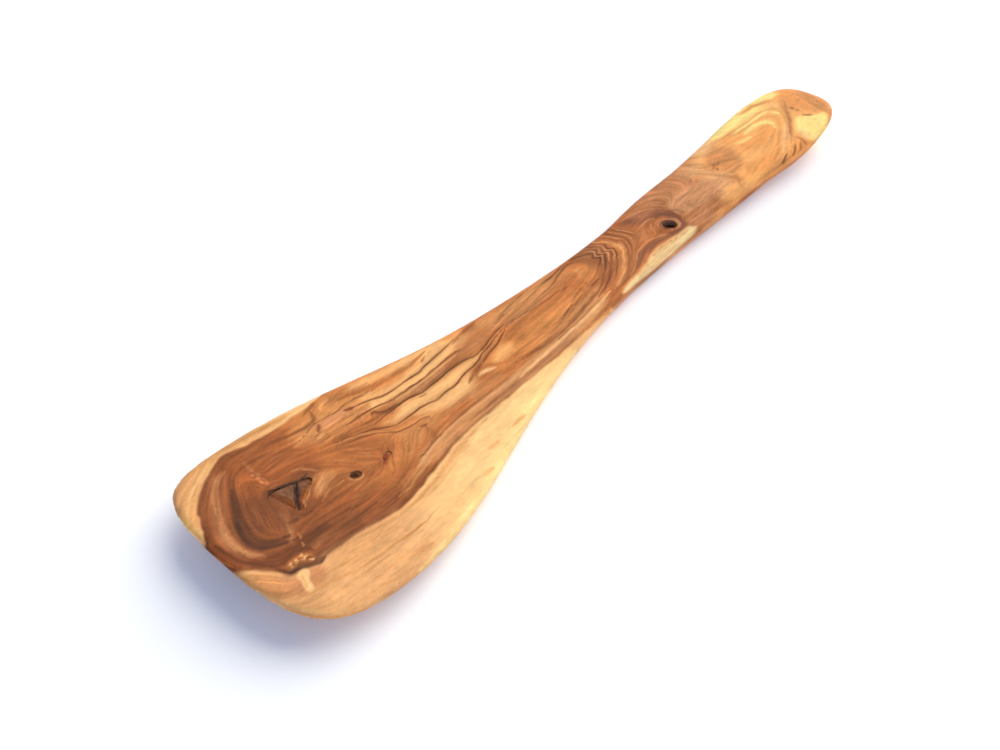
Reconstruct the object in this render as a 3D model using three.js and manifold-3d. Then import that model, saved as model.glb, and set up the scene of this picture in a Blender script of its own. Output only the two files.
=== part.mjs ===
import * as THREE from 'three';
import { mergeVertices } from 'three/addons/utils/BufferGeometryUtils.js';
import Module from 'manifold-3d';

// A spatula carved from one board of olive wood, with the dead knots that are loose bodies in it.
// Millimetres. +X runs from the blade to the handle's end, +Y to the left of the hand that holds it,
// and +Z up. It rests on z = 0, and the origin is under the middle of its box.

// Lengths, one after the other from the front edge.
const frontRun = 31; // front edge to the blade's widest place
const shoulderRun = 154.5; // widest place to the neck
const gripRun = 92; // neck to the handle's widest place
const endRun = 22.5; // handle's widest place to its end

// Widths, and how far to the left of the blade's centre line each place lies.
const bladeWidth = 74.6;
const bladeSkew = 1.3; // the right side is widest this much further back, the left this much nearer
const frontOffset = -1;
const neckWidth = 24;
const neckOffset = 2.9;
const handleWidth = 29.8;
const handleOffset = 2.5;
const handleSkew = 5.5; // as bladeSkew, at the handle
const endOffset = -3;

// Fullness of the outline's curves: the share of its run that a curve keeps to its direction at
// its front end and at its back end.
const rightFullness = { front: [0.76, 0.83], shoulder: [0.29, 0.52], grip: [0.31, 0.49], end: [0.8, 0.8] };
const leftFullness = { front: [0.88, 0.9], shoulder: [0.3, 0.56], grip: [0.28, 0.54], end: [0.74, 0.84] };

// Heights and thicknesses.
const frontThickness = 3.4;
const handleThickness = 10;
const taperRun = 150; // the thickness grows from the front edge over this length
const frontLift = 12; // of the underside at the front edge
const endLift = 6; // of the underside at the handle's end
const bellyLength = 47; // level stretch of the underside
const bellyToNeck = 20; // from that stretch to the neck
const bellyPlaned = 0.5; // planed off the belly, which leaves the flat foot
const crownShare = 0.1; // of the thickness: how far each face falls from its middle to its edge
const edgeRadius = 3;
const edgeShare = 0.45; // of the edge's height: the most that one rounding takes

// Knots: places, sizes and the gap to the wood round them.
const knotGap = 0.3;
const bladeKnotFromFront = 30.3;
const bladeKnotLeft = 8; // of the blade's centre line
const bladeKnotReach = 6.2; // from its middle to the middle of each rounded corner
const bladeKnotCorner = 1; // radius of its corners
const bladeKnotTurns = [137, 247, 4]; // degrees, from +X, where its corners lie
const barkWidth = 3; // of the bark wedge at its wide end
const pinKnotBehind = 17.2; // behind the blade knot
const pinKnotRight = 8; // to the right of the blade knot
const pinKnotLength = 3.6;
const pinKnotWidth = 2.8;
const pinKnotTurn = -34;
const pinKnotDepth = 2.6;
const smallKnotBehind = 11.5; // behind the pin knot
const smallKnotRight = 1.3; // to the right of the pin knot
const smallKnotLength = 3.8;
const smallKnotWidth = 1.8;
const smallKnotTurn = 20;
const smallKnotDepth = 2.4;
const eyeBehindNeck = 14.5;
const eyeRight = 5; // of the neck's centre line
const eyeLength = 5.2;
const eyeWidth = 3.8;
const eyeTurn = -40;
const eyePit = 1.4; // from the handle's face down to the core of the knot
const eyeCoreDepth = 3;

// How finely the curves are cut.
const frontSteps = 10;
const shoulderSteps = 16;
const gripSteps = 12;
const endSteps = 9;
const rimSteps = 3; // in a quarter round of an edge
const faceShares = [0, 0.2, 0.45, 0.72, 1]; // rings of each face, from its edge to the ridge
const cornerSteps = 4; // in a quarter turn of a knot's outline
const sameSpot = 1e-4; // points nearer than this are one

const overallLength = frontRun + shoulderRun + gripRun + endRun;
const neckFromFront = frontRun + shoulderRun;
const handleFromFront = neckFromFront + gripRun;
const bellyBack = neckFromFront - bellyToNeck;
const bellyFront = bellyBack - bellyLength;

const wasm = await Module();
wasm.setup();

const fromFront = (x) => x + overallLength / 2;
const toFrame = (distance) => distance - overallLength / 2;
const square = (value) => value * value;

// Height of the underside's middle line, before the belly is planed.
function underside(x) {
  const distance = fromFront(x);
  const ahead = Math.max(0, (bellyFront - distance) / bellyFront);
  const behind = Math.max(0, (distance - bellyBack) / (overallLength - bellyBack));
  return frontLift * square(ahead) + endLift * square(behind) - bellyPlaned;
}

function thickness(x) {
  const grown = THREE.MathUtils.smoothstep(fromFront(x), 0, taperRun);
  return THREE.MathUtils.lerp(frontThickness, handleThickness, grown);
}

// Heights of the two faces: share is 0 at the edge and 1 on the ridge.
function faceHeights(x, share) {
  const low = underside(x);
  const fall = crownShare * thickness(x) * square(1 - share);
  return { top: low + thickness(x) - fall, bottom: low + fall };
}

// One side of the outline as curves from the front edge to the handle's end: side is 1 on the left.
function sideCurves(side, fullness) {
  const front = new THREE.Vector2(toFrame(0), frontOffset);
  const blade = new THREE.Vector2(toFrame(frontRun - side * bladeSkew), (side * bladeWidth) / 2);
  const neck = new THREE.Vector2(toFrame(neckFromFront), neckOffset + (side * neckWidth) / 2);
  const handle = new THREE.Vector2(
    toFrame(handleFromFront - side * handleSkew),
    handleOffset + (side * handleWidth) / 2,
  );
  const end = new THREE.Vector2(toFrame(overallLength), endOffset);

  const across = (from, to, share) => new THREE.Vector2(from.x, from.y + (to.y - from.y) * share);
  const along = (from, to, share) => new THREE.Vector2(from.x + (to.x - from.x) * share, from.y);
  const curve = (from, to, leave, arrive, shares) =>
    new THREE.CubicBezierCurve(from, leave(from, to, shares[0]), arrive(to, from, shares[1]), to);

  return [
    [curve(front, blade, across, along, fullness.front), frontSteps],
    [curve(blade, neck, along, along, fullness.shoulder), shoulderSteps],
    [curve(neck, handle, along, along, fullness.grip), gripSteps],
    [curve(handle, end, along, across, fullness.end), endSteps],
  ];
}

// Points of one side with the direction into the wood.
function sidePoints(side, fullness) {
  const points = [];
  for (const [curve, count] of sideCurves(side, fullness)) {
    const first = points.length === 0 ? 0 : 1;
    for (let step = first; step <= count; step += 1) {
      const tangent = curve.getTangent(step / count);
      points.push({
        place: curve.getPoint(step / count),
        inward: new THREE.Vector2(side * tangent.y, -side * tangent.x),
      });
    }
  }
  return points;
}

// Heights and places of one strand of points, from the ridge on top, round the edge, to the ridge below.
function strand(point, ridge) {
  const edge = faceHeights(point.place.x, 0);
  const radius = Math.min(edgeRadius, edgeShare * (edge.top - edge.bottom));
  const inset = (distance) => point.place.clone().addScaledVector(point.inward, distance);
  const rimTop = inset(radius);
  const strandPoints = [];

  for (const share of faceShares.slice(1).reverse()) {
    const place = rimTop.clone().lerp(ridge, share);
    strandPoints.push([place.x, place.y, faceHeights(place.x, share).top]);
  }
  for (let step = rimSteps; step >= 0; step -= 1) {
    const angle = (step / rimSteps) * (Math.PI / 2);
    const place = inset(radius * (1 - Math.cos(angle)));
    strandPoints.push([place.x, place.y, edge.top - radius * (1 - Math.sin(angle))]);
  }
  for (let step = 0; step <= rimSteps; step += 1) {
    const angle = (step / rimSteps) * (Math.PI / 2);
    const place = inset(radius * (1 - Math.cos(angle)));
    strandPoints.push([place.x, place.y, edge.bottom + radius * (1 - Math.sin(angle))]);
  }
  for (const share of faceShares.slice(1)) {
    const place = rimTop.clone().lerp(ridge, share);
    strandPoints.push([place.x, place.y, faceHeights(place.x, share).bottom]);
  }
  return strandPoints;
}

// The carved board as strands round the outline. Both sides share the points of the ridge.
function boardGeometry() {
  const right = sidePoints(-1, rightFullness);
  const left = sidePoints(1, leftFullness);
  const ridgeFirst = frontSteps;
  const ridgeLast = right.length - 1 - endSteps;
  const ridgeAt = (index) => {
    const held = THREE.MathUtils.clamp(index, ridgeFirst, ridgeLast);
    return right[held].place.clone().lerp(left[held].place, 0.5);
  };
  const rightStrands = right.map((point, index) => strand(point, ridgeAt(index)));
  const leftStrands = left.map((point, index) => strand(point, ridgeAt(index)));
  const round = [...rightStrands, ...leftStrands.slice(1, -1).reverse()];

  const positions = round.flat(2);
  const rows = round[0].length;
  const indices = [];
  for (let column = 0; column < round.length; column += 1) {
    const next = (column + 1) % round.length;
    for (let row = 0; row < rows - 1; row += 1) {
      const upper = [column * rows + row, next * rows + row];
      const lower = [upper[0] + 1, upper[1] + 1];
      indices.push(upper[0], lower[0], lower[1], upper[0], lower[1], upper[1]);
    }
  }
  const geometry = new THREE.BufferGeometry();
  geometry.setAttribute('position', new THREE.Float32BufferAttribute(positions, 3));
  geometry.setIndex(indices);
  return geometry;
}

// A closed geometry as a solid. Triangles that closed up to a line at the ridge's ends are left out.
function solid(geometry) {
  const bare = geometry.clone();
  bare.deleteAttribute('normal');
  bare.deleteAttribute('uv');
  const merged = mergeVertices(bare, sameSpot);
  const corners = merged.index.array;
  const kept = [];
  for (let index = 0; index < corners.length; index += 3) {
    const [a, b, c] = corners.slice(index, index + 3);
    if (a !== b && b !== c && c !== a) kept.push(a, b, c);
  }
  const vertProperties = new Float32Array(merged.attributes.position.array);
  return new wasm.Manifold(new wasm.Mesh({ numProp: 3, vertProperties, triVerts: new Uint32Array(kept) }));
}

// An outline that keeps a radius away from a few points, given counter-clockwise.
function roundedOutline(centres, radius) {
  const outline = new THREE.Shape();
  centres.forEach((centre, index) => {
    const before = centres[(index + centres.length - 1) % centres.length];
    const after = centres[(index + 1) % centres.length];
    const start = centre.clone().sub(before).angle() - Math.PI / 2;
    const stop = after.clone().sub(centre).angle() - Math.PI / 2;
    outline.absarc(centre.x, centre.y, radius, start, stop, false);
  });
  outline.closePath();
  return outline;
}

// An upright plug of such an outline, from one height to another.
function plug(centres, radius, low, high) {
  const geometry = new THREE.ExtrudeGeometry(roundedOutline(centres, radius), {
    depth: high - low,
    bevelEnabled: false,
    curveSegments: cornerSteps,
  });
  geometry.translate(0, 0, low);
  return solid(geometry);
}

// The two points that a long knot keeps its half width away from.
function longKnot(x, y, length, width, turn) {
  const half = new THREE.Vector2((length - width) / 2, 0);
  half.rotateAround(new THREE.Vector2(), THREE.MathUtils.degToRad(turn));
  const middle = new THREE.Vector2(x, y);
  return { centres: [middle.clone().sub(half), middle.clone().add(half)], radius: width / 2 };
}

const board = solid(boardGeometry());
const skyHigh = frontLift + endLift + handleThickness + frontThickness; // clear of every face
const floorBlock = new THREE.BoxGeometry(2 * overallLength, 2 * bladeWidth, skyHigh);
floorBlock.translate(0, 0, -skyHigh / 2);
const planedBoard = board.subtract(solid(floorBlock));

// The blade knot goes right through. Its bark fills the side between its last two corners.
const bladeKnotX = toFrame(bladeKnotFromFront);
const bladeKnotCorners = bladeKnotTurns.map((turn) => {
  const corner = new THREE.Vector2(bladeKnotReach, 0);
  corner.rotateAround(new THREE.Vector2(), THREE.MathUtils.degToRad(turn));
  return corner.add(new THREE.Vector2(bladeKnotX, bladeKnotLeft));
});
const [tailCorner, lowCorner, wideCorner] = bladeKnotCorners;
const barkSide = tailCorner.clone().sub(wideCorner).setLength(barkWidth).add(wideCorner);
const barkCorners = [barkSide, lowCorner, wideCorner];
const through = (centres, radius) => plug(centres, radius, -skyHigh, skyHigh);
const bladeKnotPocket = through(bladeKnotCorners, bladeKnotCorner + knotGap);
const bladeKnotBark = planedBoard.intersect(through(barkCorners, bladeKnotCorner));
const bladeKnot = planedBoard
  .intersect(through(bladeKnotCorners, bladeKnotCorner))
  .subtract(through(barkCorners, bladeKnotCorner + knotGap));

// The pin knots end flush with the blade's face, in blind pockets.
function pinKnot(x, y, length, width, turn, depth) {
  const { centres, radius } = longKnot(x, y, length, width, turn);
  const low = faceHeights(x, 1).top - depth;
  return {
    core: planedBoard.intersect(plug(centres, radius, low, skyHigh)),
    pocket: plug(centres, radius + knotGap, low - knotGap, skyHigh),
  };
}
const pinX = bladeKnotX + pinKnotBehind;
const pinY = bladeKnotLeft - pinKnotRight;
const pin = pinKnot(pinX, pinY, pinKnotLength, pinKnotWidth, pinKnotTurn, pinKnotDepth);
const smallX = pinX + smallKnotBehind;
const smallY = pinY - smallKnotRight;
const smallPin = pinKnot(smallX, smallY, smallKnotLength, smallKnotWidth, smallKnotTurn, smallKnotDepth);

// The handle's eye is an open pit with the knot's core at its bottom.
const eyeX = toFrame(neckFromFront + eyeBehindNeck);
const eye = longKnot(eyeX, neckOffset - eyeRight, eyeLength, eyeWidth, eyeTurn);
const eyeFloor = faceHeights(eyeX, 1).top - eyePit;
const eyeCore = plug(eye.centres, eye.radius, eyeFloor - eyeCoreDepth, eyeFloor);
const eyePocket = plug(eye.centres, eye.radius + knotGap, eyeFloor - eyeCoreDepth - knotGap, skyHigh);

const body = [bladeKnotPocket, pin.pocket, smallPin.pocket, eyePocket].reduce(
  (wood, pocket) => wood.subtract(pocket),
  planedBoard,
);

function mesh(name, shape, color, roughness) {
  const { vertProperties, triVerts } = shape.getMesh();
  const geometry = new THREE.BufferGeometry();
  geometry.setAttribute('position', new THREE.Float32BufferAttribute(vertProperties, 3));
  geometry.setIndex([...triVerts]);
  geometry.computeVertexNormals();
  const part = new THREE.Mesh(geometry, new THREE.MeshStandardMaterial({ color, roughness, metalness: 0 }));
  part.name = name;
  return part;
}

const spatula = new THREE.Group();
spatula.add(
  mesh('spatula_body', body, 0xc48a4e, 0.5),
  mesh('blade_knot', bladeKnot, 0x7a5f48, 0.8),
  mesh('blade_knot_bark', bladeKnotBark, 0x2d2a30, 0.9),
  mesh('pin_knot', pin.core, 0x3b2c26, 0.8),
  mesh('small_pin_knot', smallPin.core, 0x6a3d22, 0.7),
  mesh('handle_knot', eyeCore, 0x2a1d16, 0.9),
);

export default spatula;
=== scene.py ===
import math

import bpy
import numpy as np
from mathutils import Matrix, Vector


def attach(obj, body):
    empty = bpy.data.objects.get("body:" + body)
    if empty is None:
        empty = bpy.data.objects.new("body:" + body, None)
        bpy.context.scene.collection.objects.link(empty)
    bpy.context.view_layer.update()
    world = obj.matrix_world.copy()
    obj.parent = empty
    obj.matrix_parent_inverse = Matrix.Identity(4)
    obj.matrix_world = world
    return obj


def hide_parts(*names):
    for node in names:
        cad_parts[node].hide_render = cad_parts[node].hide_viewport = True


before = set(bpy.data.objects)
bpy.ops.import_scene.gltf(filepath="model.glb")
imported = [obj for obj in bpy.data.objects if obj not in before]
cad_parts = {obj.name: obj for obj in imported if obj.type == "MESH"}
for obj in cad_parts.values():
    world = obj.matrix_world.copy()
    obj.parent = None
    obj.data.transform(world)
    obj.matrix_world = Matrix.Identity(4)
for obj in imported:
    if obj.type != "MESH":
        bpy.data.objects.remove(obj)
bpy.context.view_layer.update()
mm = 0.001
sameSpot = 0.02 * mm  # corners of the CAD nearer than this are one


def selectOnly(*things):
    bpy.ops.object.select_all(action="DESELECT")
    for thing in things:
        thing.select_set(True)
    bpy.context.view_layer.objects.active = things[0]


def inEditMode(piece, work):
    selectOnly(piece)
    bpy.ops.object.mode_set(mode="EDIT")
    bpy.ops.mesh.select_mode(type="FACE")
    bpy.ops.mesh.select_all(action="SELECT")
    work()
    bpy.ops.object.mode_set(mode="OBJECT")


# picks faces by their place or normal, then works on them in edit mode
def onFaces(piece, test, work):
    inEditMode(piece, lambda: bpy.ops.mesh.select_all(action="DESELECT"))
    for face in piece.data.polygons:
        face.select = test(face)
    bpy.ops.object.mode_set(mode="EDIT")
    work()
    bpy.ops.object.mode_set(mode="OBJECT")


# a copy of a CAD node's mesh as a piece of its own, with its loose triangles merged
def copyOfNode(node, name):
    piece = bpy.data.objects.new(name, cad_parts[node].data.copy())
    bpy.context.scene.collection.objects.link(piece)
    piece.data.materials.clear()
    inEditMode(piece, lambda: bpy.ops.mesh.remove_doubles(threshold=sameSpot))
    return piece


def middleOf(piece):
    places = np.array([vertex.co for vertex in piece.data.vertices])
    return Vector((places.min(0) + places.max(0)) / 2)


def addAndApply(piece, kind, **values):
    selectOnly(piece)
    modifier = piece.modifiers.new(kind.lower(), kind)
    for key, value in values.items():
        setattr(modifier, key, value)
    bpy.ops.object.modifier_apply(modifier=modifier.name)


def remesh(piece, voxel, smoothing=0):
    addAndApply(piece, "REMESH", mode="VOXEL", voxel_size=voxel)
    if smoothing:
        addAndApply(piece, "SMOOTH", factor=0.5, iterations=smoothing)


# moves the ends that look up or down, outwards if the distance is above 0
def moveEnds(piece, ways, facing, distance):
    for way in ways:
        move = lambda: bpy.ops.transform.translate(value=(0, 0, way * distance))
        onFaces(piece, lambda face: way * face.normal.z > facing, move)


def between(cells, i, j, i1, j1, u, v):  # a value mixed from four cells of a grid
    low = cells[i, j] * (1 - u) + cells[i1, j] * u
    return low * (1 - v) + (cells[i, j1] * (1 - u) + cells[i1, j1] * u) * v


def patchyNoise(x, y, seed, size=64):  # smooth noise from -1 to 1 that repeats after so many cells
    cells = np.random.RandomState(seed).rand(size, size) * 2 - 1
    i, j = np.floor(x).astype(int), np.floor(y).astype(int)
    u, v = x - i, y - j
    u, v = u * u * (3 - 2 * u), v * v * (3 - 2 * v)
    return between(cells, i % size, j % size, (i + 1) % size, (j + 1) % size, u, v)


def layered(x, y, layers):  # each layer: strength, fineness along and across the board, seed
    return sum(strength * patchyNoise(x * along, y * across, seed) for strength, along, across, seed in layers)


# two materials that only tell the faces apart which a cutter leaves
uncut = bpy.data.materials.new("uncut_faces")
pocketWall = bpy.data.materials.new("pocket_wall")

# the board: the carved wood with its knots filled in and smoothed, then opened again round each knot
board = {
    "voxel": 1.0 * mm,
    "swell": 0.3 * mm,  # makes up for what the smoothing takes off
    "smoothing": 16,
    "fuller": {  # mm, places where the carved side stands out a little further: how far, and its reach
        (122, -13.4): (-1.6, 23), (54, 15): (1.3, 24), (118, 17.4): (0.9, 26),
    },
    "pinch": 1.5,  # mm round such a place that are pulled out
    "bellyHeight": 0.06 * mm,  # what lies lower is planed flat
    "topFacing": 0.3,  # faces that look up more than this are made finer
    "fineNear": 0.5,  # mm from a narrow line where faces are made finer still
    "fineWidth": 0.75,  # mm, the half width of a narrow line
    "fineStrength": 0.68,  # of a narrow line that is worth finer faces
    "fineLevel": 0.37,  # what a line covers at its half width
    "gap": 0.06 * mm,  # between a knot and the wood
    "bladeGap": 0.2 * mm,  # so that no wood is left between the blade knot and its bark
    "spread": {  # how far each knot is widened to close its gap
        "blade_knot": 1.2, "blade_knot_bark": 1.35, "pin_knot": 1.4, "small_pin_knot": 1.7, "handle_knot": 1.3,
    },
    "eyePit": 1.4 * mm,
    "cutterRise": 3 * mm,
    "capFacing": 0.5,  # of a cutter's ends
    "creaseAngle": 40,
    "ridgeStep": 2.0,  # mm between the places where the ridge's height is taken
    "ridgeEnd": 146,  # mm, the last of them
    "ridgeTip": 152,  # mm, where the ridge is carried on to
}


def makeBoard():
    piece = copyOfNode("spatula_body", "olive_wood_body")
    plugs = []
    for node, spread in board["spread"].items():
        plug = copyOfNode(node, node + "_plug")
        middle = middleOf(plug)
        rise = board["eyePit"] if node == "handle_knot" else 0

        def grow():
            bpy.ops.transform.resize(value=(spread, spread, 1), center_override=middle)
            bpy.ops.transform.translate(value=(0, 0, rise))

        inEditMode(plug, grow)
        plugs.append(plug)
    selectOnly(piece, *plugs)
    bpy.ops.object.join()
    inEditMode(piece, lambda: bpy.ops.transform.shrink_fatten(value=board["swell"]))
    remesh(piece, board["voxel"], board["smoothing"])
    for (x, y), (way, reach) in board["fuller"].items():
        near = lambda face: math.hypot(face.center.x / mm - x, face.center.y / mm - y) < board["pinch"]
        pull = lambda: bpy.ops.transform.translate(
            value=(0, way * mm, 0), use_proportional_edit=True,
            proportional_edit_falloff="SMOOTH", proportional_size=reach * mm)
        onFaces(piece, near, pull)
    flatten = lambda: bpy.ops.transform.resize(value=(1, 1, 0), center_override=(0, 0, 0))
    onFaces(piece, lambda face: face.center.z < board["bellyHeight"], flatten)
    return piece


# the top gets finer faces, finest where narrow lines run
def refineTop(piece):
    for near in (None, board["fineNear"]):
        middles = np.array([face.center for face in piece.data.polygons]) / mm
        facing = np.array([face.normal.z for face in piece.data.polygons]) > board["topFacing"]
        if near:
            x, y = leaning(*middles.T)
            close = np.zeros(len(x), bool)
            for mark in figure:
                narrow = "width" in mark and mark["width"] < board["fineWidth"]
                if narrow and mark["strength"] > board["fineStrength"]:
                    wide = {**mark, "width": near, "strength": 1, "fade": 0}
                    close |= coverage(x, y, wide) > board["fineLevel"]
            facing &= close
        picked = iter(facing)
        onFaces(piece, lambda face: next(picked), lambda: bpy.ops.mesh.subdivide(number_cuts=1))


def cutOut(piece, cutter):
    if not piece.data.materials:
        piece.data.materials.append(uncut)
    cutter.data.materials.append(pocketWall)
    addAndApply(
        piece, "BOOLEAN", operation="DIFFERENCE", solver="EXACT", material_mode="TRANSFER", object=cutter)
    bpy.data.objects.remove(cutter)


def cutPocket(piece, node):
    cutter = copyOfNode(node, node + "_cutter")
    through = node.startswith("blade_knot")  # this knot and its bark go right through
    gap = board["bladeGap" if through else "gap"]
    inEditMode(cutter, lambda: bpy.ops.transform.shrink_fatten(value=gap))
    moveEnds(cutter, (1, -1) if through else (1,), board["capFacing"], board["cutterRise"])
    cutOut(piece, cutter)


# the dry crack along the blade knot, open to the top
crack = {
    "path": [(-126.4, 11.8), (-124.6, 12.5), (-121.8, 12.3), (-118.6, 11.4), (-115.4, 10.3), (-112, 10.5)],
    "width": 0.9,  # mm
    "ends": (0.02, 0.98),  # of the half wave that its width follows
    "blunt": 0.6,  # under 1, so that it narrows only near its ends
    "uneven": [(0.35, 0.9, 1, 31)],
    "depth": 2 * mm,
    "rise": 12 * mm,  # higher than the blade
}


def cutCrack(piece):
    path = smoothPath(crack["path"])
    ahead = np.gradient(path, axis=0)
    across = np.stack([-ahead[:, 1], ahead[:, 0]], 1) / np.hypot(*ahead.T)[:, None]
    wave = np.sin(np.linspace(*crack["ends"], len(path)) * np.pi)
    taper = wave ** crack["blunt"] * crack["width"] / 2 * (1 + layered(*path.T, crack["uneven"]))
    edge = np.vstack([path + across * taper[:, None], (path - across * taper[:, None])[::-1]]) * mm
    floor = np.interp(edge[:, 0] / mm, *ridgeLine) * mm - crack["depth"]
    mesh = bpy.data.meshes.new("crack_cutter")
    mesh.from_pydata([(x, y, z) for (x, y), z in zip(edge, floor)], [], [range(len(edge))])
    cutter = bpy.data.objects.new("crack_cutter", mesh)
    bpy.context.scene.collection.objects.link(cutter)

    def raiseUp():
        bpy.ops.mesh.extrude_region_move(TRANSFORM_OT_translate={"value": (0, 0, crack["rise"])})
        bpy.ops.mesh.select_all(action="SELECT")
        bpy.ops.mesh.normals_make_consistent(inside=False)

    inEditMode(cutter, raiseUp)
    cutOut(piece, cutter)


# the wood's figure, drawn as lines and patches, each over the ones before it: millimetres from
# the middle of the spatula, x to the handle, y to its left
tints = {  # sRGB, 0 to 255
    "sap": (250, 193, 130), "sapTan": (226, 167, 113), "sapShade": (211, 151, 93), "sapLine": (207, 143, 84),
    # yellow: pale sapwood with a painted highlight where its rounded edge catches the light
    "yellow": (255, 230, 157), "cream": (253, 196, 134), "bright": (255, 226, 140), "heart": (184, 109, 58),
    "red": (163, 91, 48), "rust": (134, 72, 39), "tan": (218, 149, 90), "orange": (233, 152, 83),
    "amber": (248, 173, 100), "glow": (251, 180, 110), "umber": (132, 76, 43), "dark": (98, 54, 31),
    "olive": (80, 48, 33), "ink": (50, 31, 26), "grey": (205, 141, 96), "dun": (194, 128, 83),
    "plum": (132, 78, 54), "fleck": (227, 165, 110), "pink": (220, 146, 101), "straw": (254, 194, 127),
    # pale: the wedge's sapwood, painted brighter than the wood as painted light on the sloping near edge
    # sapFront: darker front sapwood, its own tone with painted shade added
    "pale": (255, 224, 164), "sapFront": (206, 149, 97), "bark": (42, 34, 40), "dusk": (126, 88, 66),
    # edge: a painted highlight for rounded edges that face away from the light
    "wine": (104, 48, 40), "edge": (255, 205, 118),
}


# width is half of it; fade is how much wider it runs out on one side, its left side if above 0
def line(tint, strength, width, at, fade=0.0):
    return {"tint": tint, "strength": strength, "width": width, "at": at, "fade": fade}


def patch(tint, strength, soft, at):  # soft: mm to each side of its edge where it fades
    return {"tint": tint, "strength": strength, "soft": soft, "at": at}


def smoothPath(points, closed=False, steps=7):
    share = np.linspace(0, 1, steps, endpoint=False)[:, None]
    dots = np.array(points, float)
    if closed:
        dots = np.vstack([dots[-1], dots, dots[:2]])
    else:
        dots = np.vstack([2 * dots[0] - dots[1], dots, 2 * dots[-1] - dots[-2]])
    runs = []
    for a, b, c, d in zip(dots[:-3], dots[1:-2], dots[2:-1], dots[3:]):
        bend = (2 * a - 5 * b + 4 * c - d) * share ** 2 + (3 * b - a - 3 * c + d) * share ** 3
        runs.append(b + 0.5 * ((c - a) * share + bend))
    return np.vstack(runs + [dots[-2]])


chances = {  # of each line in a sheaf
    "place": (0.1, 0.9), "head": (0, 0.35), "tail": (0.65, 1), "strength": (0.5, 1.1), "width": (0.6, 1.3),
}


# fine lines spread by chance between two drawn ones
def sheaf(tint, strength, width, count, seed, first, last):
    chance = np.random.RandomState(seed)
    draw = lambda what: chance.uniform(*chances[what])
    start, end = smoothPath(first), smoothPath(last)
    lines = []
    for turn in range(count):
        path = start + (end - start) * (turn + draw("place")) / count
        head, tail = draw("head") * len(path), draw("tail") * len(path)
        path = path[int(head):int(tail):3]  # every third point is enough
        lines.append(line(tint, strength * draw("strength"), width * draw("width"), path))
    return lines


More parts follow.
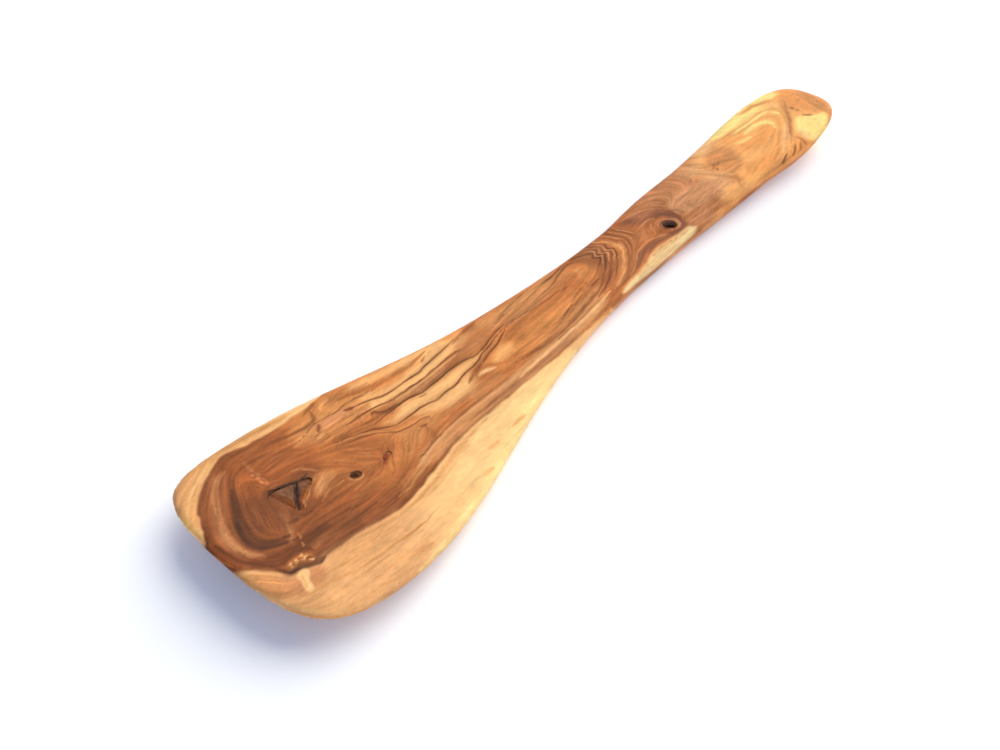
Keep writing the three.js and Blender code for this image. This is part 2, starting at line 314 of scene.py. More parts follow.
figure = [
    # broad tones of the heartwood
    patch("red", 0.8, 5, [(-133, 33), (-112, 31), (-104, 24), (-105, 14), (-120, 12), (-134, 12),
        (-142, 20)]),
    patch("red", 0.8, 4, [(-134, 2), (-118, 1), (-104, -4), (-100, -12), (-115, -16), (-132, -14)]),
    patch("rust", 0.4, 3, [(-152, 9), (-142, 20), (-134, 18), (-135, 2), (-130, -6), (-139, -14), (-145, -8),
        (-151, -3)]),
    patch("rust", 0.4, 6, [(-154, 10), (-140, 26), (-124, 34), (-108, 28), (-108, 8), (-112, -4), (-98, -18),
        (-130, -18), (-150, -6)]),
    patch("umber", 0.45, 4, [(-152, 9), (-142, 18), (-134, 24), (-127, 14), (-110, 12), (-106, 2), (-112, -5),
        (-108, -16), (-120, -17), (-131, -17), (-139, -15), (-145, -7), (-152, -3)]),
    patch("tan", 0.9, 4, [(-106, 24), (-96, 28), (-82, 30), (-70, 27), (-60, 24), (-50, 20), (-60, 10),
        (-85, 10), (-98, 15)]),
    patch("orange", 0.5, 3, [(-102, 30), (-86, 31.6), (-70, 28), (-58, 24.4), (-64, 20.6), (-84, 20.6),
        (-100, 22)]),
    patch("tan", 0.6, 4, [(-98, 0), (-85, 6), (-70, 3), (-50, -1), (-60, -5), (-85, -6)]),
    patch("heart", 0.75, 3, [(-100, 17), (-92, 18), (-80, 14), (-76, 9.4), (-84, 7.4), (-94, 10)]),
    patch("red", 0.5, 4, [(-97, 4), (-90, 6), (-84, 3), (-87, -2), (-94, -3)]),
    patch("heart", 0.7, 4, [(-104, 14), (-98, 12), (-90, 6), (-86, 0), (-94, -4), (-104, -3)]),
    patch("straw", 0.95, 2.2, [(-83, 9), (-74, 9.8), (-68, 9), (-60, 8.4), (-48, 7.8), (-43, 6.7),
        (-40.6, 6.4), (-44, 5.2), (-50, 4.4), (-58, 3.6), (-66, 4.2), (-74, 5.2), (-79, 5.8)]),
    patch("straw", 0.95, 2.6, [(-73, 4.4), (-66, 3.6), (-58, 3), (-51, 3.6), (-50, 1), (-54, -1.6),
        (-64, -0.6), (-70, 1.4)]),
    patch("straw", 1, 1.7, [(-79, 17.8), (-73, 16.4), (-62, 15.5), (-52, 16), (-45, 16.6), (-36, 15.6),
        (-45, 13.6), (-60, 13.2), (-72, 14), (-80, 15.6)]),
    patch("straw", 0.95, 2.2, [(-80, 21), (-74, 20), (-66, 18.8), (-57, 19.4), (-47, 20.2), (-39, 18.2),
        (-46, 17.2), (-54, 16.8), (-64, 16.6), (-74, 17.4)]),
    patch("straw", 0.85, 2, [(-79, 28.4), (-72, 26.8), (-62, 24.4), (-52, 21.8), (-55, 20.8), (-63, 22.2),
        (-72, 24.2), (-79, 26)]),
    patch("straw", 0.8, 1.6, [(-60, 22.8), (-50, 21.6), (-45, 20.4), (-38, 18.6), (-46, 17.8), (-56, 18),
        (-62, 20.8)]),
    patch("pink", 0.8, 1.2, [(-99, 23), (-94, 23.2), (-87, 22.4), (-82, 20.2), (-88, 20.2), (-96, 20.4)]),
    patch("heart", 0.6, 2, [(-86, 12.4), (-77, 12.6), (-75, 10), (-79, 7.6), (-86, 8)]),
    patch("tan", 0.5, 2, [(-46, 12), (-38, 12.6), (-34, 10), (-38, 8.6), (-46, 9)]),
    patch("dun", 0.3, 1.4, [(-74, 12.8), (-64, 12), (-50, 12.2), (-42, 12.4), (-40, 9.4), (-48, 9.2),
        (-60, 9.4), (-72, 10.8)]),
    patch("dun", 0.4, 1.6, [(-44, 16), (-36, 16), (-26, 13), (-30, 9.8), (-40, 9), (-45, 11)]),
    patch("orange", 0.75, 4, [(-44, -1), (-40, 3), (-32, 5), (-18, 4), (-6, 2), (0, 0), (-6, -4), (-24, -5.6),
        (-38, -4.5)]),
    patch("glow", 0.9, 1.6, [(-41.4, 0.6), (-38, 2.6), (-33.6, 3.2), (-31, 1.6), (-33, -0.6), (-38, -1)]),
    patch("heart", 0.5, 2.5, [(-31, 6), (-27, 7), (-24, 4), (-27, 0), (-31, 2)]),
    patch("tan", 0.8, 3, [(-36, 18), (-20, 15.5), (-8, 14.5), (2, 13.5), (-4, 10.5), (-20, 11), (-30, 12)]),
    patch("tan", 0.6, 3, [(-30, 12.6), (-10, 12.4), (6, 11.4), (8, 8.6), (-6, 7.6), (-28, 8.6)]),
    patch("tan", 0.65, 2, [(-24, -5), (-6, -3.6), (6, -2.4), (8, -5), (-6, -7), (-24, -7.4)]),
    patch("heart", 0.25, 2, [(-5, 9), (2, 8.6), (7, 6.6), (6, 4), (-2, 3.6), (-8, 6)]),
    patch("orange", 0.5, 1.5, [(6.6, 5), (10, 8.4), (14, 7.6), (16, 4.6), (12, 1.4), (7, 2.5)]),
    patch("tan", 0.8, 0.8, [(8.6, 8), (10.4, 7.6), (10.2, 6), (8.8, 6.2)]),
    # neck, eye and handle tones
    patch("umber", 0.45, 2.5, [(13, 13), (22, 13), (26, 6), (22, 1), (12, -3), (15, 4)]),
    patch("red", 0.6, 2.5, [(28, 14), (42, 14), (53, 10), (56, 2), (54, -5), (47, -6), (40, 0), (36, 5)]),
    patch("plum", 0.8, 1.6, [(38, 11.6), (45, 11), (50, 9.4), (54, 6), (56, 2), (55.6, -2.4), (53.6, -5.6),
        (52.6, -2), (51.6, 2.6), (48.6, 5), (43, 6.6)]),
    patch("dun", 0.85, 2.5, [(52, 15), (66, 15.5), (77, 16), (78, 8), (70, 4), (60, 5), (56, 8)]),
    patch("grey", 0.95, 1.6, [(57, 4), (62, 6), (72, 5), (80, 3), (84, -3), (80, -6), (66, -5), (58, -3)]),
    patch("dun", 0.8, 1.6, [(55, -5), (66, -5.4), (76, -5.5), (78, -9), (70, -11), (56, -10.5)]),
    patch("fleck", 0.7, 2.5, [(76, 8), (82, 10), (84, 4), (87, -3), (83, -9), (77, -8), (79, 0)]),
    patch("amber", 1, 3, [(84, 12), (92, 12), (102, 14), (122, 16), (140, 14), (152, 4), (150, -6),
        (138, -14), (120, -17), (100, -15), (86, -12), (88, -4), (86, 3)]),
    patch("glow", 0.7, 2, [(98, 0), (104, 0.6), (108, -3), (103, -5), (97, -4)]),
    patch("orange", 0.7, 2.5, [(104, 4), (112, 3), (119, 3), (119, -1), (110, -3), (103, 0)]),
    patch("tan", 0.7, 3, [(86, 9), (96, 9), (98, 2), (92, -3), (87, 0)]),
    patch("cream", 0.35, 2.5, [(78, 16), (88, 16), (94, 13), (88, 9), (80, 8), (76, 12)]),
    patch("bright", 0.75, 2, [(110, 12), (124, 11.6), (129, 8), (116, 8.4), (108, 9.6)]),
    patch("tan", 0.85, 2.5, [(89, 11), (98, 10), (100, 6), (97, -1), (90, -3), (88, 3)]),
    patch("heart", 0.3, 2.5, [(88, 9), (96, 9), (98, 2), (92, -3), (88, 0)]),
    patch("orange", 0.75, 3, [(92, -7), (102, -6), (108, -8), (106, -12), (96, -12)]),
    patch("orange", 0.6, 2, [(108, -11.6), (116, -10.6), (121, -9.6), (121.6, -17), (108, -17)]),
    patch("cream", 0.95, 2, [(86, 17), (100, 18), (110, 18), (100, 13), (92, 11.5), (88, 13)]),
    patch("bright", 0.95, 1.3, [(96, 19), (112, 19), (126, 18), (136, 15), (140, 11), (136, 10), (130, 10.6),
        (124, 11), (112, 11.6), (102, 12.6)]),
    patch("orange", 0.9, 2.6, [(136, 8), (141, 11), (146, 8), (150, 2), (150, -6), (143, -11), (139, -8),
        (137, -2), (134, 2)]),
    patch("tan", 0.7, 2, [(142, -3), (146, -2.4), (148, -6), (144, -10), (140, -8)]),
    patch("tan", 0.9, 2, [(144, 6), (149, 4), (151, -3), (146, -3)]),
    # sapwood at the front left, along the right side, and the wedge at the neck
    patch("sap", 1, 0.4, [(-156, 6.6), (-150.4, 8.2), (-147.8, 12.4), (-146.6, 15), (-145.2, 17.8),
        (-144.2, 20.4), (-142.6, 22.6), (-139.6, 25), (-135.2, 28.4), (-130.2, 31.6), (-126.4, 33.2),
        (-122.6, 33.2), (-117, 32), (-112, 31.4), (-105, 31.2), (-95, 31), (-86, 32), (-82, 36), (-84, 46),
        (-156, 46)]),
    patch("sap", 1, 0.35, [(-156, -2), (-151, -3), (-147, -5.5), (-144, -8), (-142, -10.5), (-140.8, -13),
        (-139, -14.8), (-136.5, -14.6), (-134, -16.4), (-130, -17.1), (-127, -16.6), (-122, -16.3),
        (-117, -16.5), (-112, -17.3), (-107, -18.2), (-100, -18.4), (-93, -17.2), (-88, -16), (-83, -15),
        (-78, -14), (-73, -13.2), (-67, -12.6), (-60, -12.5), (-50, -12.7), (-40, -13), (-30, -13.4),
        (-25, -13.7), (-20, -13.6), (-14, -13.6), (-6, -13.6), (0, -14.2), (3, -15.6), (4, -50),
        (-156, -50)]),
    # sapwood darker towards the front of the blade: its own tone, with painted shade added to hold down the
    # light that falls on the raised front
    patch("sapFront", 0.9, 5, [(-158, 48), (-120, 45), (-131, 33), (-146, 18), (-158, 9)]),
    patch("sapFront", 0.9, 7, [(-158, -4), (-145, -11), (-134, -21), (-128, -40), (-152, -46)]),
    patch("sapTan", 1, 6, [(-140, -13), (-112, -15.6), (-100, -24), (-106, -38), (-132, -42)]),
    patch("sapShade", 0.2, 3, [(-153, 26), (-150, 16), (-147, 13), (-153, 8)]),
    patch("sapShade", 0.7, 2.4, [(-152, -4), (-146, -8), (-143, -14), (-147, -20), (-153, -14)]),
    # pale sapwood along the right side, with a painted highlight where the rounded right edge catches the
    # light
    line("yellow", 0.5, 2, [(-114, -38), (-95, -34.8), (-75, -30), (-60, -25.4), (-48, -21.8), (-38, -19.2),
        (-25, -17), (-12, -15.4)]),
    patch("yellow", 0.5, 5, [(-84, -24), (-66, -16), (-48, -14), (-36, -15), (-44, -22), (-70, -30)]),
    line("cream", 0.5, 5, [(-110, -30), (-90, -26), (-70, -20), (-50, -17)]),
    line("sap", 0.7, 1.8, [(-150, -12), (-148, -22), (-143, -30), (-136, -36), (-126, -39)]),
    # painted highlight along the blade's rounded front edge, round its right corner
    line("edge", 0.8, 1.2, [(-152.4, -9), (-151.6, -17), (-149.8, -24.6), (-146.4, -30.4), (-141.8, -34.8),
        (-135.4, -38), (-127, -39.6)]),
    line("orange", 0.55, 0.6, [(-150.6, -14), (-149.4, -20), (-147.2, -26), (-143.4, -31), (-138.4, -35),
        (-132, -37.4)]),
    line("sapLine", 0.7, 0.4, [(-143, -23), (-137, -23.2), (-132, -23.8), (-127, -25), (-122, -25.9),
        (-113, -26.3), (-103, -27), (-94, -26.3)]),
    line("sapLine", 0.6, 0.6, [(-138, -22.6), (-133, -23.4), (-130, -24.2)]),
    line("sapLine", 0.6, 0.5, [(-114, -26.2), (-108, -26.6), (-102, -27)]),
    line("sapLine", 0.45, 0.4, [(-140, -27.6), (-130, -28), (-121, -28), (-112, -28.6)]),
    line("sapLine", 0.45, 0.4, [(-146, -19.6), (-139, -20.6), (-130, -21), (-122, -22.4)]),
    line("sapLine", 0.5, 0.45, [(-137, -33.4), (-126, -34), (-120, -35), (-113, -36)]),
    line("sapLine", 0.65, 0.9, [(-114, -33), (-109, -33.2), (-104.6, -33.8)]),
    line("sapLine", 0.4, 0.5, [(-126, -31), (-118, -31.4), (-110, -31)]),
    *sheaf("sapLine", 0.22, 0.3, 7, 51, [(-144, -19), (-130, -19), (-112, -20), (-92, -19.6)], [(-142, -34),
        (-130, -36), (-112, -34), (-90, -30)]),
    *sheaf("sapLine", 0.4, 0.3, 5, 52, [(-124, -16.4), (-108, -18.2), (-92, -17.6), (-76, -14.2),
        (-60, -13.2)], [(-122, -19), (-106, -22), (-90, -21), (-74, -18), (-58, -16.4)]),
    line("sapLine", 0.6, 0.45, [(-126, -16.8), (-114, -18.2), (-103, -20.2), (-92, -19), (-85, -17.8),
        (-78, -16.3), (-68, -14.7)]),
    line("sapLine", 0.6, 0.4, [(-86, -17), (-78, -15.4), (-70, -14.2), (-60, -13.6)]),
    line("orange", 0.6, 0.6, [(-69, -22), (-66, -22.5), (-63.6, -22.2)]),
    line("orange", 0.6, 0.7, [(-57, -21.8), (-54, -21.5), (-51, -21.9)]),
    line("orange", 0.5, 0.8, [(-77, -27.8), (-75, -28.2), (-72.4, -28)]),
    *sheaf("sapLine", 0.4, 0.35, 5, 53, [(-150, 12), (-146, 18), (-139, 25.4), (-131, 31.4)], [(-150, 24),
        (-144, 30), (-136, 33.4), (-126, 36)]),
    line("sapLine", 0.6, 0.45, [(-151, 16.4), (-148, 17.2), (-145.6, 19.2), (-143.6, 21.4)]),
    line("cream", 0.5, 0.6, [(-147.4, 21), (-143, 25.4), (-138, 29), (-132, 32.4)]),
    patch("sapShade", 0.9, 1.8, [(-134, 33.2), (-126, 34), (-118, 33), (-106, 32), (-100, 33), (-112, 36.6),
        (-124, 38), (-134, 37)]),
    # painted highlight on the blade's front edge at the left, which faces away from the light
    patch("edge", 0.85, 1.6, [(-154, 31), (-149.2, 29), (-148.2, 21), (-149.4, 13.6), (-155, 12)]),
    line("pink", 0.5, 0.9, [(-146.8, 15.4), (-145.4, 17), (-144.4, 18.8)]),
    line("sapLine", 0.4, 0.6, [(-122, 34.8), (-112, 33.8), (-102, 32.6)]),
    line("cream", 0.6, 0.8, [(-112, 32.6), (-103, 31.6), (-96, 31.9), (-90, 32)]),
    # rims of the heartwood
    patch("rust", 0.6, 1.5, [(-154, 8), (-149.6, 9), (-146.4, 6), (-145.8, 0), (-147.4, -4), (-153, -3)]),
    patch("rust", 0.75, 1.6, [(-145.6, -5.4), (-141, -5.6), (-136, -7), (-128, -7), (-127, -10),
        (-132, -10.6), (-138, -11.8), (-141.4, -10.8)]),
    line("dark", 0.7, 0.6, [(-151.4, 7.4), (-149.2, 9.4), (-147, 12.6), (-144.6, 17.6), (-143.4, 20.4),
        (-141.8, 22.4), (-138.8, 25), (-134.6, 28.2)], -0.8),
    line("umber", 0.6, 0.7, [(-143.4, 19.6), (-139, 24.4), (-134.4, 28), (-129.6, 30.8), (-126, 32.4),
        (-122.6, 32.5), (-117, 31.2), (-110, 30.6)], -0.5),
    line("rust", 0.8, 1.7, [(-148, 9.5), (-145.4, 13.4), (-142.6, 18), (-138, 23), (-132, 26.6), (-126, 30),
        (-118, 29.8)]),
    line("rust", 0.9, 1.9, [(-142.4, -8), (-139.8, -11.2), (-136, -11.6), (-131, -13), (-126, -13.4),
        (-119, -13.4), (-112, -14.2), (-105, -15.2), (-98, -15.2)]),
    line("dark", 0.85, 1.1, [(-141, -10.5), (-139.8, -13.4), (-138, -13.8), (-136, -14), (-132, -15.8),
        (-129, -16)]),
    line("ink", 0.7, 0.5, [(-140.4, -12.4), (-139.4, -13.9), (-137.4, -14.4), (-134.5, -15.6),
        (-131.5, -16.6), (-128.5, -16.2)]),
    line("dark", 0.65, 0.6, [(-130, -16.2), (-124, -15.6), (-117, -15.7), (-111, -16.6), (-105, -17.5),
        (-99, -17.6), (-93, -16.5), (-87, -15.3), (-81, -14.1), (-75, -12.9), (-68, -12)], 1.0),
    line("umber", 0.5, 0.6, [(-80, -13.4), (-72, -12.4), (-62, -11.9), (-50, -12.1), (-40, -12.4),
        (-30, -12.8), (-20, -12.8), (-10, -12.2), (2, -11.6)], 1.0),
    # bands that bend round the front of the blade knot
    line("red", 0.7, 1.2, [(-145.8, 10), (-145.6, 4), (-144.8, -1), (-142.6, -5.4), (-139.6, -9)]),
    line("dun", 0.7, 1.8, [(-128.6, 28.2), (-132.8, 25.8), (-136.8, 21.4), (-140.5, 15.6), (-142.8, 11),
        (-143.6, 8)]),
    line("tan", 0.5, 0.5, [(-129, 29), (-133.6, 26.2), (-137.6, 21.6), (-141, 15.8)]),
    line("umber", 0.5, 0.4, [(-129.4, 27.2), (-132.6, 24.6), (-136.2, 20), (-139.6, 14.6)]),
    line("dun", 0.95, 1.7, [(-141.6, 13), (-143.6, 9), (-144.4, 5), (-144, 0.6), (-142.4, -2.6),
        (-140.8, -4.6)]),
    line("tan", 0.55, 0.8, [(-143.2, 9), (-144, 5), (-143.8, 1), (-142.6, -2)]),
    line("umber", 0.8, 0.8, [(-126.4, 28), (-129.6, 24.6), (-132, 20.6), (-134.6, 16)], 0.6),
    line("olive", 0.9, 0.95, [(-131.6, 21), (-135, 15.4), (-138, 11), (-140, 7), (-141, 3.4), (-140.6, 0),
        (-138.8, -2.4), (-136, -4), (-132.4, -5.4)], 1.3),
    line("olive", 0.6, 0.6, [(-136.6, 9), (-138.4, 4.6), (-138.2, 0.6), (-136, -2), (-133, -3.6)], 0.6),
    *sheaf("umber", 0.5, 0.35, 5, 41, [(-130, 25), (-135, 17), (-138.4, 8), (-137.6, 0)], [(-127, 20),
        (-131, 14), (-134, 7), (-133.6, 1)]),
    line("dark", 0.75, 0.35, [(-128.8, 12.2), (-130, 9), (-131, 6)]),
    line("dark", 0.65, 0.35, [(-130.8, 10), (-132.2, 6), (-133.4, 2.4)]),
    line("dark", 0.6, 0.3, [(-134.8, 8), (-135.6, 4.6), (-135.4, 2)]),
    line("dark", 0.5, 0.3, [(-133, 9.6), (-134.2, 6), (-134.6, 3)]),
    line("tan", 0.4, 0.4, [(-131.8, 12), (-133.4, 8), (-134.8, 5)]),
    patch("rust", 0.85, 2, [(-146, 0), (-143, -4), (-138, -6), (-134, -8), (-136, -11), (-141, -10.6),
        (-145, -6)]),
    line("dark", 0.9, 0.9, [(-148, 7.6), (-147.4, 3), (-146.8, -0.6), (-145.4, -4), (-142.6, -7.6),
        (-140.4, -11)]),
    line("rust", 0.7, 0.8, [(-149.4, 8.4), (-148.8, 4), (-148, 0), (-146.6, -3.6)]),
    line("heart", 0.7, 0.7, [(-150.8, 6), (-150.2, 2), (-149.2, -2)]),
    line("dark", 0.5, 0.4, [(-145, 2), (-144.4, -2), (-142.4, -5.4), (-139.4, -8.4)]),
    # heartwood under and above the blade knot
    *sheaf("umber", 0.6, 0.4, 8, 42, [(-131, -5.6), (-122, -3.6), (-112, -5), (-100, -5.6)], [(-130, -14),
        (-120, -13.4), (-110, -14.6), (-98, -15.4)]),
    line("umber", 0.8, 1.2, [(-131, -8.4), (-124, -9.2), (-117, -10.2), (-111, -10.6)]),
    line("dark", 0.65, 0.45, [(-132, -6.4), (-126, -6.9), (-119, -7.4), (-112, -8)]),
    line("dark", 0.6, 0.4, [(-126, -10.6), (-119, -11.4), (-112, -11.8), (-105, -11.8)]),
    line("umber", 0.7, 0.5, [(-131, -13.4), (-124, -13.2), (-117, -13.8), (-111, -14.9)]),
    *sheaf("umber", 0.45, 0.45, 8, 43, [(-130, 28), (-122, 30), (-112, 29), (-104, 27)], [(-127, 17),
        (-121, 16), (-113, 16.6), (-105, 15.6)]),
    *sheaf("tan", 0.35, 0.4, 5, 47, [(-126, 27), (-118, 29), (-110, 27), (-102, 26)], [(-120, 18),
        (-114, 18.6), (-108, 18), (-102, 17)]),
    line("umber", 0.6, 0.7, [(-127, 24), (-122, 26.2), (-116, 25), (-110, 21.6), (-106, 18)]),
    line("umber", 0.5, 0.6, [(-115, 28), (-109, 27.4), (-104, 25.6), (-99, 25), (-95, 25)]),
    patch("rust", 0.4, 3, [(-135, 14), (-127, 13.4), (-126, 2), (-134, 1)]),
    # flecks on a ray across the blade knot
    line("dun", 0.3, 0.5, [(-122, 29.4), (-122.4, 25), (-122.8, 21), (-123, 15)]),
    line("pink", 0.42, 0.4, [(-123.6, 19.9), (-123.1, 19.3), (-122.9, 18.8)]),
    line("pink", 0.42, 0.35, [(-122.2, 18.5), (-121.8, 18), (-121.7, 17.5)]),
    line("pink", 0.55, 0.35, [(-123.9, 17.8), (-123.4, 17.3), (-123.2, 16.8)]),
    line("pink", 0.42, 0.3, [(-122.8, 16.5), (-122.4, 16), (-122.3, 15.5)]),
    line("fleck", 0.5, 0.3, [(-124, 21.6), (-123.6, 21.1), (-123.5, 20.6)]),
    line("fleck", 0.5, 0.3, [(-122.5, 20.8), (-122.2, 20.3), (-122, 19.9)]),
    line("fleck", 0.45, 0.3, [(-122.9, 23.6), (-122.6, 23), (-122.6, 22.4)]),
    line("rust", 0.55, 0.35, [(-124.4, 19), (-124, 18.2), (-124.3, 17.2)]),
    line("rust", 0.5, 0.3, [(-122.7, 18.2), (-122.5, 17.4), (-122.8, 16.9)]),
    line("rust", 0.5, 0.3, [(-121.4, 19.2), (-121.2, 17.4), (-121.6, 15.8)]),
    line("rust", 0.45, 0.3, [(-123.2, 22.4), (-123, 21.6), (-123.1, 20.8)]),
    patch("dun", 0.5, 0.9, [(-128.2, 5), (-126.4, 4.2), (-126.6, 1), (-128, -1.6), (-130.2, -4.6),
        (-132, -7.4), (-132.6, -5.4), (-130.8, -2), (-129.2, 1.6)]),
    line("tan", 0.6, 0.35, [(-127.6, 4), (-128, 1.6), (-129.4, -1.4), (-130.8, -4)]),
    line("dark", 0.75, 0.45, [(-128.4, 0.2), (-126.6, -0.4), (-124.8, -0.6)]),
    line("olive", 0.75, 0.45, [(-133, -2.8), (-131.6, -3.6), (-130.2, -3.2)]),
    line("dark", 0.7, 0.35, [(-131.8, -5.2), (-130.6, -5.8), (-129.6, -5.4)]),
    # darker tones over the heartwood at the front: its own dark wood, with painted shade added to hold down
    # the light that falls on the raised front
    patch("olive", 0.3, 2.2, [(-136, 12), (-130, 15), (-126, 12.6), (-125.4, 3), (-128, -1), (-134, 0),
        (-137, 5)]),
    patch("dark", 0.35, 2, [(-124, 2), (-118, 3.4), (-113, 6.6), (-110, 5), (-113, 0), (-122, -2)]),
    patch("dark", 0.62, 1.3, [(-146, -3.4), (-141, -4.8), (-135, -5.8), (-128, -6), (-121, -6.6), (-121, -9),
        (-128, -10), (-131, -12.4), (-134, -10), (-138.6, -10.2), (-141.4, -10), (-144.4, -6.8)]),
    patch("dark", 0.42, 0.9, [(-131, -12.8), (-124, -12.2), (-114, -12.8), (-114, -15.8), (-122, -15.2),
        (-129, -15.6), (-132, -15)]),
    patch("umber", 0.85, 0.8, [(-139.6, -11.4), (-137, -9.8), (-132, -10), (-129.4, -13.4), (-132, -15),
        (-136, -13.6), (-139, -13.2)]),
    line("dark", 0.5, 0.7, [(-141, -9.2), (-139, -9.8), (-137, -9.2), (-134, -8.8), (-131, -10),
        (-129.4, -12.4)]),
    patch("orange", 0.4, 0.6, [(-139.4, -12.4), (-137.8, -10.8), (-134.8, -10.2), (-132, -11.6),
        (-130.8, -13.8), (-132.8, -14.4), (-135, -13.4), (-138, -13.5)]),
    line("fleck", 0.85, 0.42, [(-136.8, -12), (-136, -12.3), (-135.4, -12.2)]),
    line("fleck", 0.85, 0.42, [(-134.6, -12.1), (-133.9, -12.5), (-133.4, -13.1)]),
    line("fleck", 0.85, 0.42, [(-138.4, -12.9), (-137.7, -12.4), (-137.2, -12)]),
    line("fleck", 0.85, 0.42, [(-132.6, -13.7), (-132, -14.2), (-131.5, -14.3)]),
    line("fleck", 0.85, 0.42, [(-134.2, -10.8), (-133.6, -10.9), (-132.8, -10.6)]),
    line("fleck", 0.5, 0.35, [(-130.8, -9.2), (-130.4, -8.4), (-130.2, -7.6)]),
    line("fleck", 0.5, 0.35, [(-129.4, -6.4), (-129, -5.4), (-128.8, -4.6)]),
    line("cream", 0.9, 0.4, [(-136.2, -11.2), (-135.6, -11.4), (-135.2, -11.9)]),
    line("cream", 0.9, 0.4, [(-133.6, -12.2), (-132.9, -12.4), (-132.4, -12.1)]),
    line("cream", 0.8, 0.35, [(-138, -11.8), (-137.5, -11.3), (-137, -11.2)]),
    line("rust", 0.8, 0.4, [(-136.4, -13.4), (-135.8, -12.8), (-135.2, -13.2)]),
    line("rust", 0.7, 0.35, [(-135.3, -11.5), (-134.4, -11.4), (-133.6, -11.8)]),
    line("rust", 0.75, 0.4, [(-133, -12.4), (-132.4, -12.9), (-131.6, -13.2)]),
    line("rust", 0.6, 0.35, [(-137.2, -12.9), (-136.8, -11.4), (-136, -10.8)]),
    patch("dun", 0.75, 1.4, [(-147.6, -8.4), (-143.6, -11.4), (-140.6, -15), (-137, -15.6), (-132, -17.4),
        (-133, -21), (-141, -22), (-147.4, -18)]),
    line("sapLine", 0.8, 0.35, [(-151, -5.6), (-147.6, -7.6), (-144.6, -10.4), (-142.8, -13)]),
    line("sapLine", 0.7, 0.35, [(-151.4, -8.4), (-148, -10), (-145.6, -12.4), (-143.6, -15.4)]),
    line("sapLine", 0.6, 0.3, [(-151.4, -11), (-148.6, -12.6), (-146.4, -14.8)]),
    patch("cream", 0.95, 0.6, [(-138.6, -15.4), (-136, -15.2), (-135.6, -17), (-137.4, -19), (-138.4, -22),
        (-140.4, -21.6), (-139.6, -18)]),
    line("sapLine", 0.45, 0.4, [(-138, -16), (-138.8, -18.4), (-139.6, -20.8)]),
    # the dead wood's surround
    patch("umber", 0.6, 1.2, [(-126.6, 13), (-124, 14.6), (-118, 13.4), (-111.6, 11.6), (-111.4, 8.6),
        (-115, 6.6), (-119, 3.4), (-122, 0.6), (-124, 2), (-124.6, 7), (-126, 10)]),
    patch("dusk", 0.85, 0.6, [(-123.9, 11.4), (-120.6, 11.3), (-117.4, 9.9), (-119.2, 7.4), (-121, 5.2),
        (-122.3, 8.4)]),
    patch("dusk", 0.75, 0.7, [(-117.6, 10.2), (-113.4, 10.4), (-112, 9), (-114.4, 7.2), (-117, 6.8),
        (-118.8, 7.4)]),
    line("tan", 0.7, 0.4, [(-114.2, 6.3), (-117, 4.7), (-119.4, 2.9), (-120.8, 1.4)]),
    line("heart", 0.6, 0.4, [(-115, 6.8), (-117.6, 5.2), (-119.6, 3.6)]),
    line("plum", 0.75, 0.5, [(-124.4, 11.6), (-123.3, 9.6), (-122.4, 7.6), (-121.9, 5.6)]),
    line("bark", 0.95, 0.8, [(-116.4, 10.1), (-118.2, 8.2), (-120, 5.8), (-121.4, 3.8), (-122.9, 1.7)]),
    # near black along the open crack: painted shade of the crack, in the bark's colour
    line("bark", 0.85, 0.45, [(-126, 11.8), (-124, 12.2), (-121.8, 12.1), (-119, 11.3), (-116, 10.4),
        (-112.6, 10.3)]),
    patch("dark", 0.6, 0.7, [(-127, 11.4), (-126.4, 12.8), (-124.6, 13.8), (-123.6, 12.8), (-124.4, 11.2),
        (-125.8, 10.8)]),
    line("dark", 0.6, 0.35, [(-126.8, 12), (-125.8, 13.6), (-124, 14.3), (-122, 14.7), (-120, 14)]),
    line("plum", 0.6, 0.5, [(-125.8, 12), (-125.2, 9.4), (-124.6, 6.6), (-124.8, 4)]),
    line("umber", 0.6, 0.45, [(-127.6, 3.6), (-128.4, 1), (-127.4, -0.8)]),
    line("dark", 0.6, 0.4, [(-124.2, -0.4), (-121.6, -0.9), (-118.6, -0.4)]),
    line("plum", 0.7, 0.45, [(-113.4, 13), (-111.4, 11.6), (-109.8, 9)]),
    line("fleck", 0.35, 0.35, [(-112, 13.2), (-110.4, 11), (-109.4, 9)]),
    line("plum", 0.6, 0.35, [(-110.6, 12.8), (-109, 10.4), (-108.2, 8)]),
    line("fleck", 0.4, 0.35, [(-115, 14.4), (-113, 14), (-111, 13.4)]),
    patch("tan", 0.7, 1.5, [(-113, 6.6), (-110, 8), (-107.6, 7.6), (-105.6, 5), (-107.6, 3.2), (-111, 2.6),
        (-114.6, 1.4), (-116, 2.4)]),
    *sheaf("fleck", 0.7, 0.35, 5, 83, [(-115, 2.8), (-112, 5.6), (-108.6, 7.8)], [(-115, 1), (-111, 2.4),
        (-105.8, 4)]),
    *sheaf("rust", 0.5, 0.3, 4, 84, [(-114.6, 4.6), (-112, 6.4), (-107.6, 8.4)], [(-114, 1), (-110, 2.2),
        (-105, 3)]),
    line("red", 0.65, 0.4, [(-117, 0.8), (-113.4, 2.4), (-109.6, 3.2), (-105.8, 2.6)]),
    line("orange", 0.6, 0.5, [(-116, -0.4), (-111, 1.2), (-106.4, 1)]),
    line("red", 0.5, 0.45, [(-114, -0.8), (-109, -0.2), (-105.4, -0.6)]),
    *sheaf("rust", 0.55, 0.45, 6, 44, [(-108, 9.4), (-105, 6.4), (-103, 3.4), (-101.2, 1)], [(-98, 11),
        (-93.6, 7), (-90, 3.4), (-87.6, 0.6)]),
    *sheaf("tan", 0.5, 0.45, 5, 45, [(-106, 8.4), (-103.4, 5.6), (-101, 3.2), (-98.6, 1)], [(-97, 10),
        (-93, 6.6), (-90.6, 3.4), (-88.6, 1)]),
